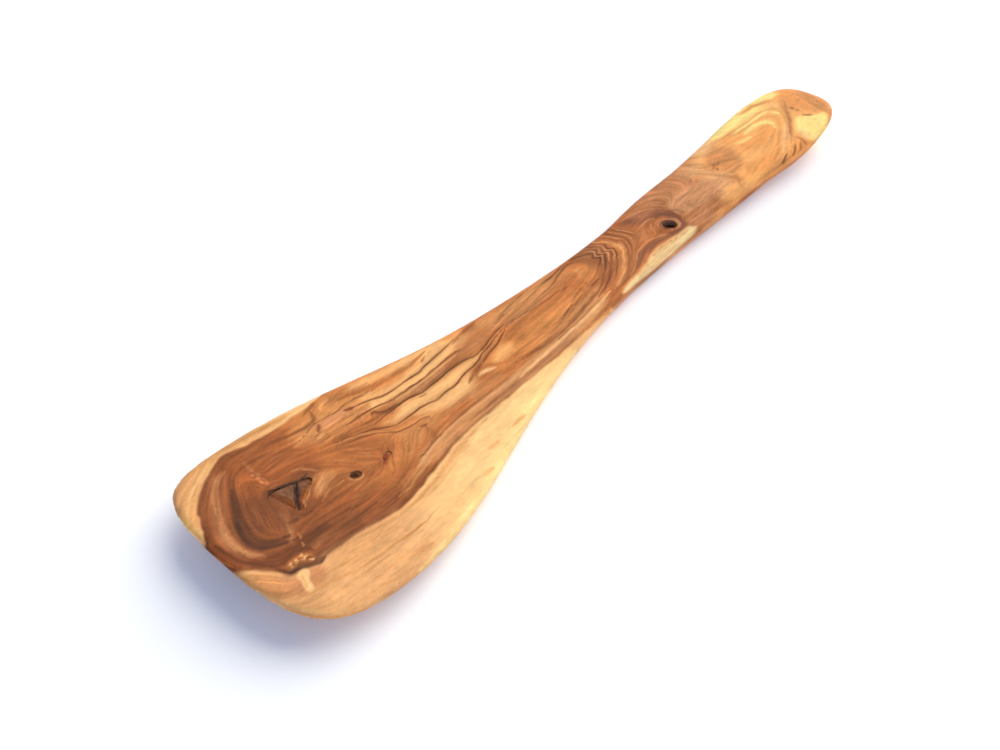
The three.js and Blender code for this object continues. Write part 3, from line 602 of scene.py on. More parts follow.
    *sheaf("red", 0.55, 0.4, 6, 46, [(-120, -1.6), (-110, -2), (-103, -3), (-96, -3.4)], [(-120, -5.6),
        (-109, -7), (-101, -6.6), (-94, -5.6)]),
    *sheaf("tan", 0.35, 0.4, 4, 48, [(-112, -3), (-106, -3.6), (-100, -3.4), (-94, -4)], [(-110, -8.6),
        (-103, -8.6), (-96, -8), (-90, -6.6)]),
    line("rust", 0.6, 0.5, [(-112, -4.6), (-106, -4.9), (-101, -4), (-97, -2.4)]),
    line("fleck", 0.85, 0.4, [(-104.9, 1), (-104.6, -0.6), (-103.4, -1.7), (-101.6, -1.9), (-100.6, -1.2)]),
    patch("umber", 0.4, 0.4, [(-104.5, 0.6), (-103.5, 1.6), (-102, 1.3), (-101.1, 0), (-101.6, -1.2),
        (-103.2, -1.3), (-104.2, -0.6)]),
    patch("ink", 0.85, 0.6, [(-104, 1), (-102.9, 1.3), (-101.9, 0.6), (-101.5, -0.6), (-102.4, -1.1),
        (-103.6, -0.3)]),
    patch("red", 0.5, 1.2, [(-96, -3), (-93, 0.6), (-89, 1), (-89, -1.4), (-92, -4), (-95, -4.4)]),
    patch("wine", 0.9, 0.7, [(-93.4, -2.6), (-92, -1), (-90.4, -0.3), (-90.1, -1), (-91.4, -2.1),
        (-92.8, -3)]),
    # hatching between the small pin knot and the stripes
    *sheaf("orange", 0.5, 0.4, 8, 49, [(-89, 1), (-91, -2), (-93.4, -5), (-95, -8)], [(-76, 0), (-79, -3),
        (-83, -6.4), (-88, -9)]),
    *sheaf("heart", 0.5, 0.4, 7, 50, [(-90, 0.6), (-92, -2.4), (-94, -5.4), (-96, -8)], [(-77, -1), (-80, -4),
        (-84, -7), (-89, -9.6)]),
    line("rust", 0.6, 0.5, [(-88.4, 0.6), (-89.6, -0.6), (-90.4, -2)]),
    # long stripes on the right of the heartwood
    *sheaf("umber", 0.4, 0.3, 7, 54, [(-112, -11), (-100, -11.4), (-88, -9.4), (-76, -7), (-62, -6.6)],
        [(-112, -15.6), (-100, -16.4), (-88, -14.4), (-76, -12.2), (-62, -11.4)]),
    *sheaf("tan", 0.55, 0.4, 5, 55, [(-108, -12.4), (-98, -12.6), (-86, -10.6), (-74, -7.6), (-60, -7.4)],
        [(-108, -15), (-98, -15.4), (-86, -13), (-74, -10.4), (-60, -10)]),
    patch("fleck", 0.6, 1.5, [(-84, -8.4), (-70, -7), (-50, -7.6), (-30, -8.4), (-8, -7.6), (4, -6), (6, -9),
        (-6, -12), (-30, -13), (-60, -12.2), (-84, -13)]),
    patch("fleck", 0.6, 1.5, [(-44, -8), (-10, -7.6), (2, -7), (2, -10), (-20, -12), (-44, -12)]),
    line("fleck", 0.75, 0.6, [(-88, -11.2), (-82, -9.6), (-75, -8.2), (-66, -7.5), (-58, -7.7), (-48, -8.6),
        (-36, -9.2), (-24, -9.4)]),
    line("tan", 0.6, 0.7, [(-92, -13.4), (-86, -12.4), (-80, -11), (-73, -9.6), (-64, -8.8), (-54, -9.2)]),
    line("dark", 0.6, 0.35, [(-86, -9.4), (-80, -8.2), (-74, -7.3), (-66, -6.7), (-58, -6.7), (-50, -6.9)]),
    line("heart", 0.6, 1.3, [(-84, -7), (-76, -5.4), (-66, -4.6), (-56, -5), (-46, -5.8), (-38, -5.6)]),
    line("dun", 0.7, 1.1, [(-78, -10.8), (-68, -10.4), (-58, -10.5), (-46, -10.8), (-34, -11.2), (-20, -11.4),
        (-6, -10.8)]),
    *sheaf("umber", 0.4, 0.25, 5, 56, [(-70, -9.6), (-56, -9.6), (-40, -10), (-24, -10.4), (-8, -9.8)],
        [(-70, -12), (-56, -12), (-40, -12.4), (-24, -12.8), (-8, -12)]),
    line("dark", 0.35, 0.5, [(-35, -4.4), (-32, -5.6), (-28, -6.6), (-24, -7), (-20, -6.7), (-15.7, -7.3),
        (-10, -7), (-3, -6.3), (4, -5.2), (10, -3.6), (16, -1.2)], 0.7),
    line("rust", 0.5, 0.7, [(-37, -5.2), (-31, -6.4), (-24, -7.4), (-16, -7.8), (-8, -7.4)]),
    line("tan", 0.6, 0.4, [(-30, -8.6), (-20, -8.6), (-10, -8.2), (0, -7.4), (8, -6)]),
    line("cream", 0.7, 0.6, [(-40, -9.9), (-30, -9.8), (-20, -9.7), (-10, -9.5), (0, -8.8), (9, -7.6)]),
    line("umber", 0.6, 0.35, [(-20, -8.9), (-10, -8.6), (-2, -8), (6, -7)]),
    *sheaf("red", 0.45, 0.35, 4, 57, [(-70, -1.6), (-58, -2.6), (-48, -2.6), (-38, -3)], [(-72, -4),
        (-60, -4.6), (-48, -5.4), (-38, -5.2)]),
    line("rust", 0.75, 0.5, [(-76, -0.4), (-74.8, -1.1), (-73.8, -1.1)]),
    line("rust", 0.4, 1, [(-75, -1.4), (-75.3, -4.4), (-75.8, -7.4)]),
    # wavy streaks of the blade
    line("tan", 0.6, 0.9, [(-108, 21), (-103, 21.8), (-98, 22.6)]),
    line("umber", 0.5, 0.5, [(-110, 26.8), (-104, 25.4), (-99, 25), (-95, 25.2)]),
    line("dark", 0.65, 0.27, [(-105, 22), (-101, 22.9), (-97.9, 23.7), (-94.3, 23.7), (-90, 23),
        (-86.4, 23.1), (-82, 22.9), (-78.6, 22.1), (-75, 21.3), (-71, 20.7)]),
    line("rust", 0.85, 0.6, [(-98.6, 20.4), (-97.4, 21.8), (-96.2, 23)]),
    line("rust", 0.6, 0.6, [(-97, 24.2), (-95.6, 26.4), (-94.6, 29)]),
    line("umber", 0.6, 0.6, [(-97, 29.4), (-94, 30.2), (-91, 30.4)]),
    line("glow", 0.7, 0.7, [(-100.6, 18.6), (-98.8, 19), (-97.4, 19.6)]),
    line("glow", 0.6, 0.8, [(-92, 27), (-90, 28.6), (-87, 28.8)]),
    *sheaf("umber", 0.45, 0.35, 6, 58, [(-92, 29), (-84, 28.2), (-74, 25.4), (-62, 22.6)], [(-92, 24.4),
        (-84, 24), (-74, 22), (-62, 20)]),
    *sheaf("umber", 0.5, 0.3, 6, 81, [(-104, 21), (-96, 20), (-88, 20), (-78, 18)], [(-104, 15), (-96, 14.6),
        (-88, 13), (-80, 10.8)]),
    *sheaf("glow", 0.45, 0.3, 6, 82, [(-104, 21), (-96, 20.4), (-88, 20), (-78, 18)], [(-103, 15.6),
        (-96, 15), (-88, 13), (-80, 11)]),
    line("rust", 0.85, 0.7, [(-87, 21.6), (-85.6, 21), (-84.2, 20.6)]),
    line("heart", 0.95, 1, [(-86, 26.2), (-79, 24.2), (-73, 21.8), (-67.9, 20.4), (-59.3, 20),
        (-52.1, 20.6)]),
    line("orange", 0.6, 0.36, [(-74, 19.8), (-66, 18.8), (-58, 18.5), (-50, 19.4)]),
    line("umber", 0.6, 0.36, [(-56.4, 18), (-54.6, 18.8), (-53.4, 19.6)]),
    line("dark", 0.9, 0.27, [(-85.7, 20.9), (-82.9, 20.1), (-80, 19.2), (-77.1, 18), (-74.3, 16.9),
        (-70.7, 16.6), (-66.4, 16.2), (-62.1, 15.9), (-57.9, 15.9), (-53.6, 16.4), (-49.3, 16.6), (-45, 16.9),
        (-42.4, 17.4)], 0.5),
    line("rust", 0.6, 0.8, [(-44, 16.2), (-40.7, 16.8), (-36.4, 17.2), (-32, 16.8)]),
    line("orange", 0.8, 1, [(-45, 19.4), (-41, 18.8), (-37, 18.4)]),
    line("dark", 0.92, 0.29, [(-91, 16.9), (-86.4, 16.2), (-82.1, 16), (-78.6, 15.1), (-76.4, 14.3),
        (-74.3, 13.9), (-69.3, 13.5), (-65.7, 13.1), (-63.6, 12.6), (-59.3, 12.8), (-55, 13), (-50.7, 13.1),
        (-47.1, 13), (-44, 12.2)], -0.6),
    patch("umber", 0.7, 0.7, [(-82.4, 14.4), (-80.6, 14.2), (-78.4, 12.6), (-74, 11.4), (-78, 11),
        (-80.6, 12)]),
    line("dark", 0.75, 0.3, [(-83, 13), (-82, 14.2), (-81.2, 14.3), (-80.2, 13.2), (-78.4, 11.9),
        (-75.4, 11.4)]),
    line("straw", 0.6, 0.5, [(-74, 12.8), (-64, 11.7), (-56, 12), (-46, 11.9)]),
    line("umber", 0.38, 0.5, [(-72, 11), (-65, 9.8), (-58, 9.7), (-50, 9.6), (-43, 8.6)]),
    *sheaf("umber", 0.4, 0.26, 4, 80, [(-76, 12), (-66, 11.4), (-56, 11.6), (-44, 11.2)], [(-74, 10.6),
        (-65, 9.4), (-56, 9.4), (-44, 8)]),
    line("dark", 0.92, 0.3, [(-84.5, 10.5), (-80.7, 10.4), (-77.1, 10.6), (-73.6, 10.5), (-69.3, 10.1),
        (-67.1, 9.4), (-65, 8.8), (-60.7, 8.9), (-56.4, 8.7), (-52.1, 8.7), (-48.6, 8.4), (-45.7, 7.8),
        (-43.6, 7.1), (-41.4, 6.9)], 0.8),
    line("umber", 0.7, 0.29, [(-67.4, 8.2), (-66.2, 7.6), (-64.8, 7.3)]),
    line("dark", 0.92, 0.29, [(-98.6, 14), (-94.3, 12.6), (-90.7, 11.2), (-87.1, 9.8), (-85, 8), (-82.9, 6.6),
        (-80, 5.3), (-76.4, 4.9), (-72.9, 4.8), (-70, 4.8), (-67.1, 4.1), (-64.6, 3.2), (-60.7, 3.4),
        (-56.4, 3.2), (-53.6, 3.7), (-50, 4.2), (-46.4, 4.2), (-43.6, 4.8), (-40.7, 5.9), (-36.4, 6.6),
        (-32.9, 7.3), (-29.3, 7.8)], 0.3),
    line("dark", 0.7, 0.25, [(-97, 11.4), (-92.4, 10), (-89.6, 9), (-87.1, 7.6), (-84.6, 5.5), (-82.1, 3.4),
        (-79.3, 2.3), (-76.4, 1.6), (-73.4, 1.2), (-71.2, 0.5), (-71.6, -0.5)]),
    line("tan", 0.7, 0.36, [(-97, 12.6), (-92, 11), (-88.4, 9.4), (-86, 7.2), (-83.6, 5)]),
    *sheaf("umber", 0.45, 0.35, 4, 59, [(-104, 16.6), (-97, 15.4), (-92, 14), (-86, 13)], [(-103, 12),
        (-97, 10.4), (-91, 8.6), (-87, 6)]),
    line("dark", 0.85, 0.27, [(-44, 2.9), (-40, 3.8), (-37.1, 4.5), (-33.6, 5.1), (-30, 6.6), (-27.6, 7.6)]),
    line("dark", 0.75, 0.27, [(-42.6, 7), (-38.6, 7.4), (-35, 8), (-30.7, 8.7), (-26.4, 9.3)]),
    line("tan", 0.6, 0.25, [(-40, 6.7), (-35, 7.3), (-30, 8.3)]),
    line("tan", 0.6, 0.25, [(-40, 5), (-35, 5.8), (-31, 7)]),
    line("umber", 0.8, 0.6, [(-53, 0.5), (-50, 1.7), (-47.1, 2), (-44.3, 2.9)]),
    line("umber", 0.6, 0.36, [(-48, -0.2), (-45.4, -1.2), (-43, -1.8)]),
    patch("cream", 0.9, 0.6, [(-48.6, 0.4), (-46.6, 1), (-43.8, 0), (-42.4, -1.4), (-44.6, -1.2),
        (-47, -0.4)]),
    line("heart", 0.8, 0.8, [(-43.6, 1.2), (-41.4, -0.6), (-38.6, -2.4), (-35, -3.4), (-31, -4)]),
    # middle and neck
    line("dark", 0.5, 0.25, [(-30.4, 10.8), (-25.7, 12), (-20, 13.1), (-14.3, 13.8), (-9, 14.1)]),
    line("dark", 0.55, 0.25, [(-16, 10.4), (-10, 11.3), (-4.3, 12), (2, 12.2)]),
    line("dark", 0.6, 0.25, [(-29.3, 8.2), (-24.3, 8.1), (-20, 7.7), (-15.7, 6.6), (-10, 5.9), (-4.3, 5.6),
        (1, 5.2)]),
    line("dark", 0.65, 0.29, [(-8, 8.8), (-2, 9.3), (3.8, 10.6), (8.1, 11.6), (11.3, 11.5)]),
    line("dark", 0.6, 0.29, [(-5, 11.7), (2, 12), (8, 12.6)]),
    *sheaf("umber", 0.35, 0.28, 6, 60, [(-30, 12), (-20, 13.6), (-10, 14), (2, 13)], [(-28, 8), (-18, 8),
        (-8, 7.4), (4, 8)]),
    *sheaf("tan", 0.4, 0.35, 5, 61, [(-28, 10), (-18, 11.6), (-8, 12), (4, 11)], [(-28, 7), (-18, 7),
        (-8, 6.4), (4, 6.6)]),
    *sheaf("fleck", 0.45, 0.25, 6, 85, [(-28, 9.4), (-16, 9.6), (-4, 10.6), (8, 11.2)], [(-28, 7), (-16, 6.2),
        (-4, 6), (8, 7.4)]),
    *sheaf("fleck", 0.4, 0.25, 4, 86, [(-34, 16), (-22, 14.4), (-10, 13.4), (4, 12.8)], [(-32, 11),
        (-20, 10.8), (-8, 11), (6, 11.6)]),
    line("umber", 0.6, 0.32, [(-2.6, 5.2), (-1, 4.9), (0.4, 5)]),
    line("dark", 0.6, 0.24, [(-15, -5.1), (-7.1, -2.6), (0, -0.1), (4, 0.8), (7.5, 1.3)]),
    line("umber", 0.5, 0.24, [(-12, -5.2), (-5, -3.4), (0, -1.6), (4, 0)]),
    line("dark", 0.65, 0.25, [(7.2, -0.9), (11.9, -0.8), (15.6, -0.3)]),
    line("orange", 0.6, 0.36, [(-7, -1.4), (-1, -1.2), (5, -0.4)]),
    *sheaf("umber", 0.35, 0.3, 5, 62, [(-22, -4.2), (-10, -3), (0, -2), (10, -1.4)], [(-22, -6.4),
        (-10, -6.2), (0, -5.4), (10, -3)]),
    *sheaf("tan", 0.4, 0.3, 4, 63, [(-20, -4.6), (-8, -3.6), (2, -2.6), (10, -1.6)], [(-16, -6), (-6, -5.4),
        (4, -4), (12, -2)]),
    # arches at the neck
    *sheaf("umber", 0.6, 0.3, 5, 64, [(13, 11.6), (17, 10.2), (18.6, 8), (18.4, 6), (16, 3), (10, -1)],
        [(23, 12.6), (26, 9), (25.6, 6.6), (25.6, 4), (21, -0.6), (12, -5.4)]),
    *sheaf("tan", 0.6, 0.3, 5, 65, [(14, 12.4), (17.6, 11), (19.8, 9), (19.6, 7.4), (20.6, 5.4), (17, 2)],
        [(22.6, 12.8), (25.4, 9.6), (25.6, 7), (25.2, 4.4), (22, 0.6), (15, -3.6)]),
    line("dark", 0.9, 0.5, [(11.6, 12.8), (14.4, 12), (17, 10.9), (19.2, 9.6), (19.6, 8.6), (18.4, 7.6),
        (18.8, 6.6), (20.2, 5.6), (19, 4.6), (16.4, 3.4)]),
    line("dark", 0.85, 0.45, [(16, 12.9), (19, 11.6), (21.4, 9.9), (21.8, 9), (20.6, 7.9), (20.9, 6.9),
        (22.6, 5.8), (21.4, 4.6), (19, 2.4), (15.6, 0)]),
    line("umber", 0.75, 0.35, [(17, 1), (11.9, -2.2), (7.5, -4), (2.5, -5.4), (-5, -6.4)]),
    line("rust", 0.9, 0.5, [(19.4, 13.2), (22, 11.5), (24, 9.6), (24.2, 8.6), (23, 7.4), (23.2, 6.4),
        (24.8, 5), (23.8, 3.6), (20.6, 0.8), (16.3, -1.8), (11.3, -4.4), (4, -6.4)]),
    line("dark", 0.8, 0.4, [(22, 13.2), (24.6, 10.8), (26.2, 8.8), (25.4, 7.4), (25.6, 6.2), (26.8, 4.8),
        (25.6, 3), (23, 0.4)]),
    line("umber", 0.7, 0.35, [(23.6, 1), (19.4, -2.2), (15, -4.6), (9, -6.8)]),
    line("fleck", 0.6, 0.27, [(17.6, 11.8), (20.2, 10.4), (20.7, 8.9), (19.5, 7.8), (19.9, 6.6), (21.4, 5.6),
        (20.2, 4.6), (17.6, 3)]),
    line("fleck", 0.6, 0.27, [(20.6, 11.6), (22.8, 9.7), (22.9, 8.7), (21.8, 7.5), (22.1, 6.5), (23.8, 5.2),
        (22.6, 3.8), (20, 1.6)]),
    line("tan", 0.7, 0.3, [(23, 12), (25.2, 9.4), (24.2, 7.4), (24.5, 6.2), (25.8, 4.8), (24.6, 3),
        (22, 0.6)]),
    line("tan", 0.8, 0.36, [(24, 13.4), (26.4, 10.6), (28, 8.4)]),
    line("tan", 0.9, 0.9, [(26.4, 11), (27.4, 9), (28.8, 7), (28.2, 5.6), (29.6, 4.2), (28.4, 2), (25, -1.2),
        (21.3, -4), (16.9, -6.3), (12, -8)]),
    line("glow", 0.5, 0.36, [(28.6, 6.8), (29.2, 4.4), (27, 0.8), (23.6, -2.2)]),
    line("umber", 0.8, 0.36, [(27.4, 13.4), (28.8, 12), (30.4, 8.8), (31, 7), (32.3, 5.4), (31.4, 3.4),
        (30, 1), (27.5, -1.5), (23, -4.8), (17, -7.4), (10, -8.8)]),
    line("rust", 0.75, 0.32, [(29.4, 13.4), (32.5, 9.1), (34.1, 5.7), (33.6, 3.6), (31.6, 1)]),
    line("tan", 0.7, 0.25, [(29, 13), (31.6, 8.8), (33.3, 5.4)]),
    line("tan", 0.65, 0.29, [(31.6, 13), (34, 9), (35.6, 5.4), (35.2, 3)]),
    line("umber", 0.6, 0.25, [(33, 13.2), (35.2, 9.4), (36.9, 5.4)]),
    line("fleck", 0.7, 0.29, [(34.6, 13.2), (36.6, 8.5), (38.1, 5.1), (38.6, 4.2)]),
    *sheaf("umber", 0.55, 0.35, 5, 66, [(30, 0), (24, -5), (16, -7.6), (6, -8)], [(33, -2.4), (26, -6.6),
        (17, -9), (6, -10)]),
    *sheaf("tan", 0.5, 0.35, 4, 67, [(30.6, 0.6), (25, -4), (17, -7), (8, -8)], [(32, -2), (26, -6),
        (18, -8.6), (8, -9.6)]),
    patch("dun", 0.35, 1, [(34, 3), (40, 3.8), (44, 2.4), (41, -0.6), (37, -1.2), (34, 0)]),
    patch("fleck", 0.2, 0.8, [(36.6, 1), (39.6, 2.6), (42, 2.4), (40, -0.4), (37.6, -0.8)]),
    patch("plum", 0.75, 0.9, [(24, -7.2), (30, -3.8), (34, -2.8), (38, -2.6), (42, -3.8), (45, -5.8),
        (40, -5.2), (33, -5.4), (29, -6.8)]),
    line("fleck", 0.75, 0.22, [(27.5, -5.3), (30, -3.1), (33.8, -2.1), (37.5, -1.8), (41.3, -2.8),
        (44.4, -4.3), (46.4, -5.7)]),
    line("umber", 0.6, 0.22, [(32, -1.2), (36, -0.9), (40, -1.6), (43.6, -3.2)]),
    # the eye
    patch("plum", 0.8, 1, [(44.6, -5.2), (48, -5.4), (51, -5.6), (54, -4.2), (55.4, -6.4), (52, -7.4),
        (46.6, -7)]),
    line("fleck", 0.75, 0.25, [(38.8, 4.1), (41.9, 5.1), (45, 5.4), (48.1, 4.8), (49.4, 4)]),
    line("dark", 0.6, 0.8, [(54.6, 5), (55.8, 1.6), (55.4, -1.8), (53.6, -5)]),
    line("plum", 0.85, 1.3, [(46, -5), (50.4, -6.6), (53.6, -5.8)]),
    line("fleck", 0.65, 0.25, [(38.8, 12.4), (45, 11.4), (50, 9.9), (53.8, 6.8), (56, 3.4)]),
    *sheaf("rust", 0.55, 0.3, 4, 68, [(40, -0.6), (42.4, 2.4), (46, 4.4), (50, 3.8)], [(42, -1.6),
        (44.6, 0.8), (47, 1.8), (50.4, 1.8)]),
    *sheaf("fleck", 0.5, 0.3, 3, 69, [(41.6, -1.4), (43.4, 1.6), (46, 3.2), (49.6, 3)], [(44, -2.6),
        (45.4, 0), (46.8, 1.4), (49.8, 2)]),
    line("rust", 0.6, 0.29, [(41.6, -0.8), (44.6, -2.2), (46, -4), (48.4, -5.2)]),
    patch("plum", 0.8, 0.5, [(46.9, -0.6), (48, 0.7), (50, 0.6), (51.8, -0.8), (52.4, -3), (51.6, -4.4),
        (50, -4.7), (48, -3.6), (47, -2.2)]),
    # ink over the right of the pit: the knot's dark core, with painted shade of the hole
    patch("ink", 0.95, 0.8, [(48.6, 0.4), (50.4, 0.4), (52, -1), (52.4, -3), (51.4, -4.5), (49.8, -4.6),
        (48.8, -3), (49, -1)]),
    line("fleck", 0.6, 0.25, [(46, -2.6), (46.4, 0), (47.6, 1.3), (50.4, 1.3), (52.4, -0.6), (52.9, -3),
        (51.8, -5), (49.6, -5.2), (47.6, -4.4)]),
    line("tan", 0.5, 0.8, [(44, 12.6), (51, 11.6), (55, 8.6), (57.4, 4.6)]),
    line("fleck", 0.65, 0.29, [(50, 12.9), (55, 12.2), (59.4, 10.4), (61.5, 7.9), (61.2, 6), (58.8, 4.1),
        (57.6, 2)]),
    line("rust", 0.4, 0.9, [(56, 10.4), (58.6, 8.4), (58.4, 5.6)]),
    *sheaf("umber", 0.15, 0.4, 5, 70, [(60, 14.6), (64, 11.6), (65, 8), (62, 5)], [(72, 15), (76, 11),
        (77.4, 8), (76, 4)]),
    *sheaf("fleck", 0.28, 0.45, 5, 71, [(60, 14), (63.6, 11), (64.4, 8), (61, 5)], [(71, 15), (75, 11.4),
        (76.4, 8), (75, 4)]),
    patch("fleck", 0.7, 0.4, [(59.6, -0.8), (60.6, -1.4), (61.2, -3), (60.4, -3.4), (59.8, -2.4)]),
    patch("fleck", 0.6, 0.4, [(61.6, -1.8), (62.6, -2.2), (62.4, -3.2), (61.4, -2.8)]),
    line("fleck", 0.6, 0.25, [(63.4, -3.2), (65, -3.8), (66.4, -4.8)]),
    line("fleck", 0.55, 0.25, [(66, 5.2), (68, 4.2), (70.4, 3.8)]),
    line("cream", 0.6, 0.3, [(77.6, 8.4), (78.6, 7.4), (79.6, 6.6)]),
    line("cream", 0.5, 0.3, [(78.4, 9.6), (79.8, 8.2), (80.4, 7)]),
    line("fleck", 0.6, 0.3, [(75, -5.6), (77.4, -6.4), (80, -6)]),
    line("fleck", 0.55, 0.3, [(74.4, -8.4), (76.6, -7.8), (79, -8.6)]),
    line("umber", 0.35, 0.25, [(61, -5), (65, -6.2), (70, -7)]),
    line("umber", 0.35, 0.25, [(57, -6.4), (62, -7.4), (67, -8.6)]),
    *sheaf("fleck", 0.4, 0.2, 9, 87, [(58, 3), (66, 4.6), (74, 4.4), (82, 1)], [(58, -4), (66, -5.6),
        (74, -6), (84, -6)]),
    *sheaf("plum", 0.3, 0.2, 9, 88, [(58, 2.4), (66, 4), (74, 3.8), (82, 0.4)], [(58, -9), (66, -10),
        (74, -10), (83, -9)]),
    line("fleck", 0.45, 0.4, [(64, 1.8), (65.4, 1.2), (66.4, 1.5)]),
    line("fleck", 0.4, 0.35, [(69.4, -1), (70.8, -1.9), (72.4, -1.6)]),
    line("plum", 0.25, 0.5, [(62.6, 0.8), (64, 0.1), (65.6, 0.3)]),
    line("plum", 0.25, 0.6, [(70, -3.2), (72.4, -4), (74.6, -3.5)]),
    line("plum", 0.2, 0.7, [(67, 2.8), (71, 1.6), (74, 1.8)]),
    line("cream", 0.4, 0.6, [(80.2, 3.6), (81.4, 1.6), (82.6, -0.6)]),
    line("plum", 0.35, 0.6, [(57.6, 1.6), (58.6, -0.6), (58, -3)]),
    *sheaf("fleck", 0.3, 0.4, 5, 72, [(60, 3.6), (68, 4.4), (76, 3), (82, 0)], [(58, -3), (66, -5), (76, -5),
        (82, -4)]),
    *sheaf("dun", 0.3, 0.4, 4, 73, [(60, 2.6), (68, 3.4), (76, 2), (82, -1)], [(58, -2), (66, -4), (76, -4.4),
        (82, -3.4)]),
    *sheaf("umber", 0.3, 0.35, 4, 74, [(57, -5), (66, -6.2), (74, -6.4), (82, -7)], [(57, -10), (66, -10.6),
        (74, -10.4), (82, -10.6)]),
    # pale wedge of sapwood under the eye, painted brighter as painted light where it runs onto the rounded
    # near edge
    patch("fleck", 0.6, 2, [(-16, -13.6), (20, -12.8), (58, -12.4), (60, -19), (-12, -19)]),
    patch("pale", 0.92, 0.8, [(10.6, -11.4), (15.6, -9.9), (21.9, -9), (27.5, -8.3), (32.5, -7.1),
        (36.3, -6.8), (40, -7), (43.8, -7.4), (48.1, -7.8), (53.1, -7.6), (54.4, -8.6), (55.4, -10.4),
        (50, -12), (40, -12.5), (28, -12.6), (16, -12.4)]),
    line("cream", 0.8, 0.8, [(32, -7.2), (37, -6.9), (43, -7.5), (49, -8.2), (54, -8.2)]),
    *sheaf("tan", 0.6, 0.24, 6, 75, [(17, -9.6), (27, -8.2), (36, -6.4), (46, -7.6), (54, -8)], [(17, -11.4),
        (27, -11.4), (37, -11), (46, -10.6), (54, -10)]),
    line("umber", 0.5, 0.18, [(31.6, -8), (36, -7.6), (41, -7.6), (46, -8.4)]),
    line("rust", 0.35, 0.6, [(2, -13), (14, -12.6), (28, -12.7), (44, -12.4), (58, -12)]),
    line("glow", 0.7, 2.2, [(56, -13), (70, -13), (80, -12), (92, -13.6), (106, -15.4), (118, -17)]),
    patch("glow", 0.75, 2, [(74, -7), (82, -6), (88, -9), (86, -13), (76, -12)]),
    # the handle's end
    *sheaf("orange", 0.6, 0.4, 7, 76, [(84, 12), (88, 8), (92, 4), (94, -1)], [(90, -12), (94, -9), (97, -7),
        (100, -6)]),
    line("umber", 0.2, 0.8, [(76, 12.6), (79, 9.6), (81.4, 5), (84, 0), (87, -4.8), (86, -7.6), (83, -11)]),
    line("cream", 0.4, 1.4, [(79, 12), (82, 6), (85, 1), (88, -4)]),
    line("rust", 0.28, 0.4, [(80, 13.6), (82, 11.6), (85, 9), (86.4, 7)]),
    line("rust", 0.7, 0.45, [(86.1, 2), (86.5, 2.6), (86.4, 3.2)]),
    line("dark", 0.65, 0.4, [(87.2, 5), (87.8, 5.4), (88.5, 5.2)]),
    line("rust", 0.65, 0.35, [(87, 6.2), (87.4, 6.4), (87.8, 6.3)]),
    line("rust", 0.6, 0.4, [(88.4, 4.4), (88.9, 4.2), (89.4, 4.4)]),
    line("rust", 0.3, 0.9, [(85.6, 3.6), (87.6, 4.6), (91, 4.4)]),
    line("orange", 0.7, 0.6, [(101.3, 12), (105.8, 11.2), (111.3, 10.6), (116.9, 10), (121.3, 9.6),
        (125.8, 9.1), (129, 7.4)]),
    line("bright", 0.9, 0.55, [(107, 9.6), (111, 9.3), (116.3, 8.8), (122.4, 8.3), (126.9, 7.4)]),
    line("orange", 0.8, 0.5, [(105, 9.6), (110, 8.4), (114.7, 7.9), (120.2, 7.3), (124, 6.4)]),
    line("bright", 0.95, 1.2, [(109, 6.4), (114.7, 6.4), (119.1, 5.5), (121.7, 3.6), (122, 1.3),
        (120.2, -0.5)]),
    line("bright", 0.85, 0.9, [(103, 6), (105.8, 4.6), (110.4, 3.6)]),
    line("bright", 0.8, 0.9, [(127.4, 6.4), (128.6, 4.4), (128.4, 2.8)]),
    line("cream", 0.7, 1.4, [(130, 10.4), (132, 8.4), (131, 6)]),
    line("orange", 0.9, 0.9, [(117.6, 15.6), (120.2, 14.5), (124.7, 13.9), (128, 12.6), (132.4, 10.8),
        (136, 9.4)]),
    line("heart", 0.4, 0.4, [(119.6, 15), (124, 14.2), (128, 12.8), (132, 11)]),
    line("bright", 0.7, 1, [(132, 14.6), (136, 12.6), (139, 10.4)]),
    line("tan", 0.9, 1.2, [(116, -10.4), (120, -7.6), (125.8, -3.7), (131.3, 1.3), (134, 4), (137, 6)]),
    line("heart", 0.5, 0.5, [(118, -9.4), (122, -6.4), (127, -3), (131, 0.8), (135, 4.6)]),
    line("cream", 0.75, 0.7, [(107, -13), (110.2, -11.2), (116.3, -7), (123, -3.4), (126, -1)]),
    line("cream", 0.5, 0.6, [(112, -12.6), (117, -9.4), (121, -6.6)]),
    line("orange", 0.8, 0.7, [(104, -11), (110, -8.6), (116, -5), (120, -2.4)]),
    *sheaf("tan", 0.5, 0.35, 6, 77, [(96, -5), (104, -4.6), (112, -3.6), (120, 0)], [(98, -14), (106, -13),
        (113, -10.6), (119, -7.6)]),
    *sheaf("orange", 0.6, 0.35, 6, 78, [(94, 9), (101, 9), (108, 6.4), (116, 3.4)], [(94, -4), (101, -2),
        (108, -1), (117, -1)]),
    line("rust", 0.65, 0.55, [(134.3, 1.9), (134.8, 1.2), (134.7, 0.6)]),
    line("rust", 0.6, 0.55, [(134.6, -0.6), (135, -1.2), (134.8, -1.8)]),
    line("rust", 0.6, 0.4, [(140.4, 2.8), (140.9, 2.2), (140.8, 1.6)]),
    line("rust", 0.6, 0.4, [(144.6, -3.6), (145.1, -4.2), (144.9, -4.8)]),
    *sheaf("tan", 0.5, 0.4, 5, 79, [(136, 8), (138, 3), (137, -2), (138, -6)], [(146, 7), (148, 2), (147, -3),
        (144, -8)]),
    patch("bright", 0.95, 1.3, [(124.1, -7.6), (127, -5.4), (130.2, -3.1), (132.4, -3.8), (133.8, -5.4),
        (136.3, -7.6), (140.2, -9.8), (138.6, -12.6), (134, -15), (128, -16.6), (122.6, -17), (123, -12)]),
    patch("cream", 0.6, 1.2, [(123.4, -8), (125.6, -8.6), (126, -13), (123.4, -15), (122, -12)]),
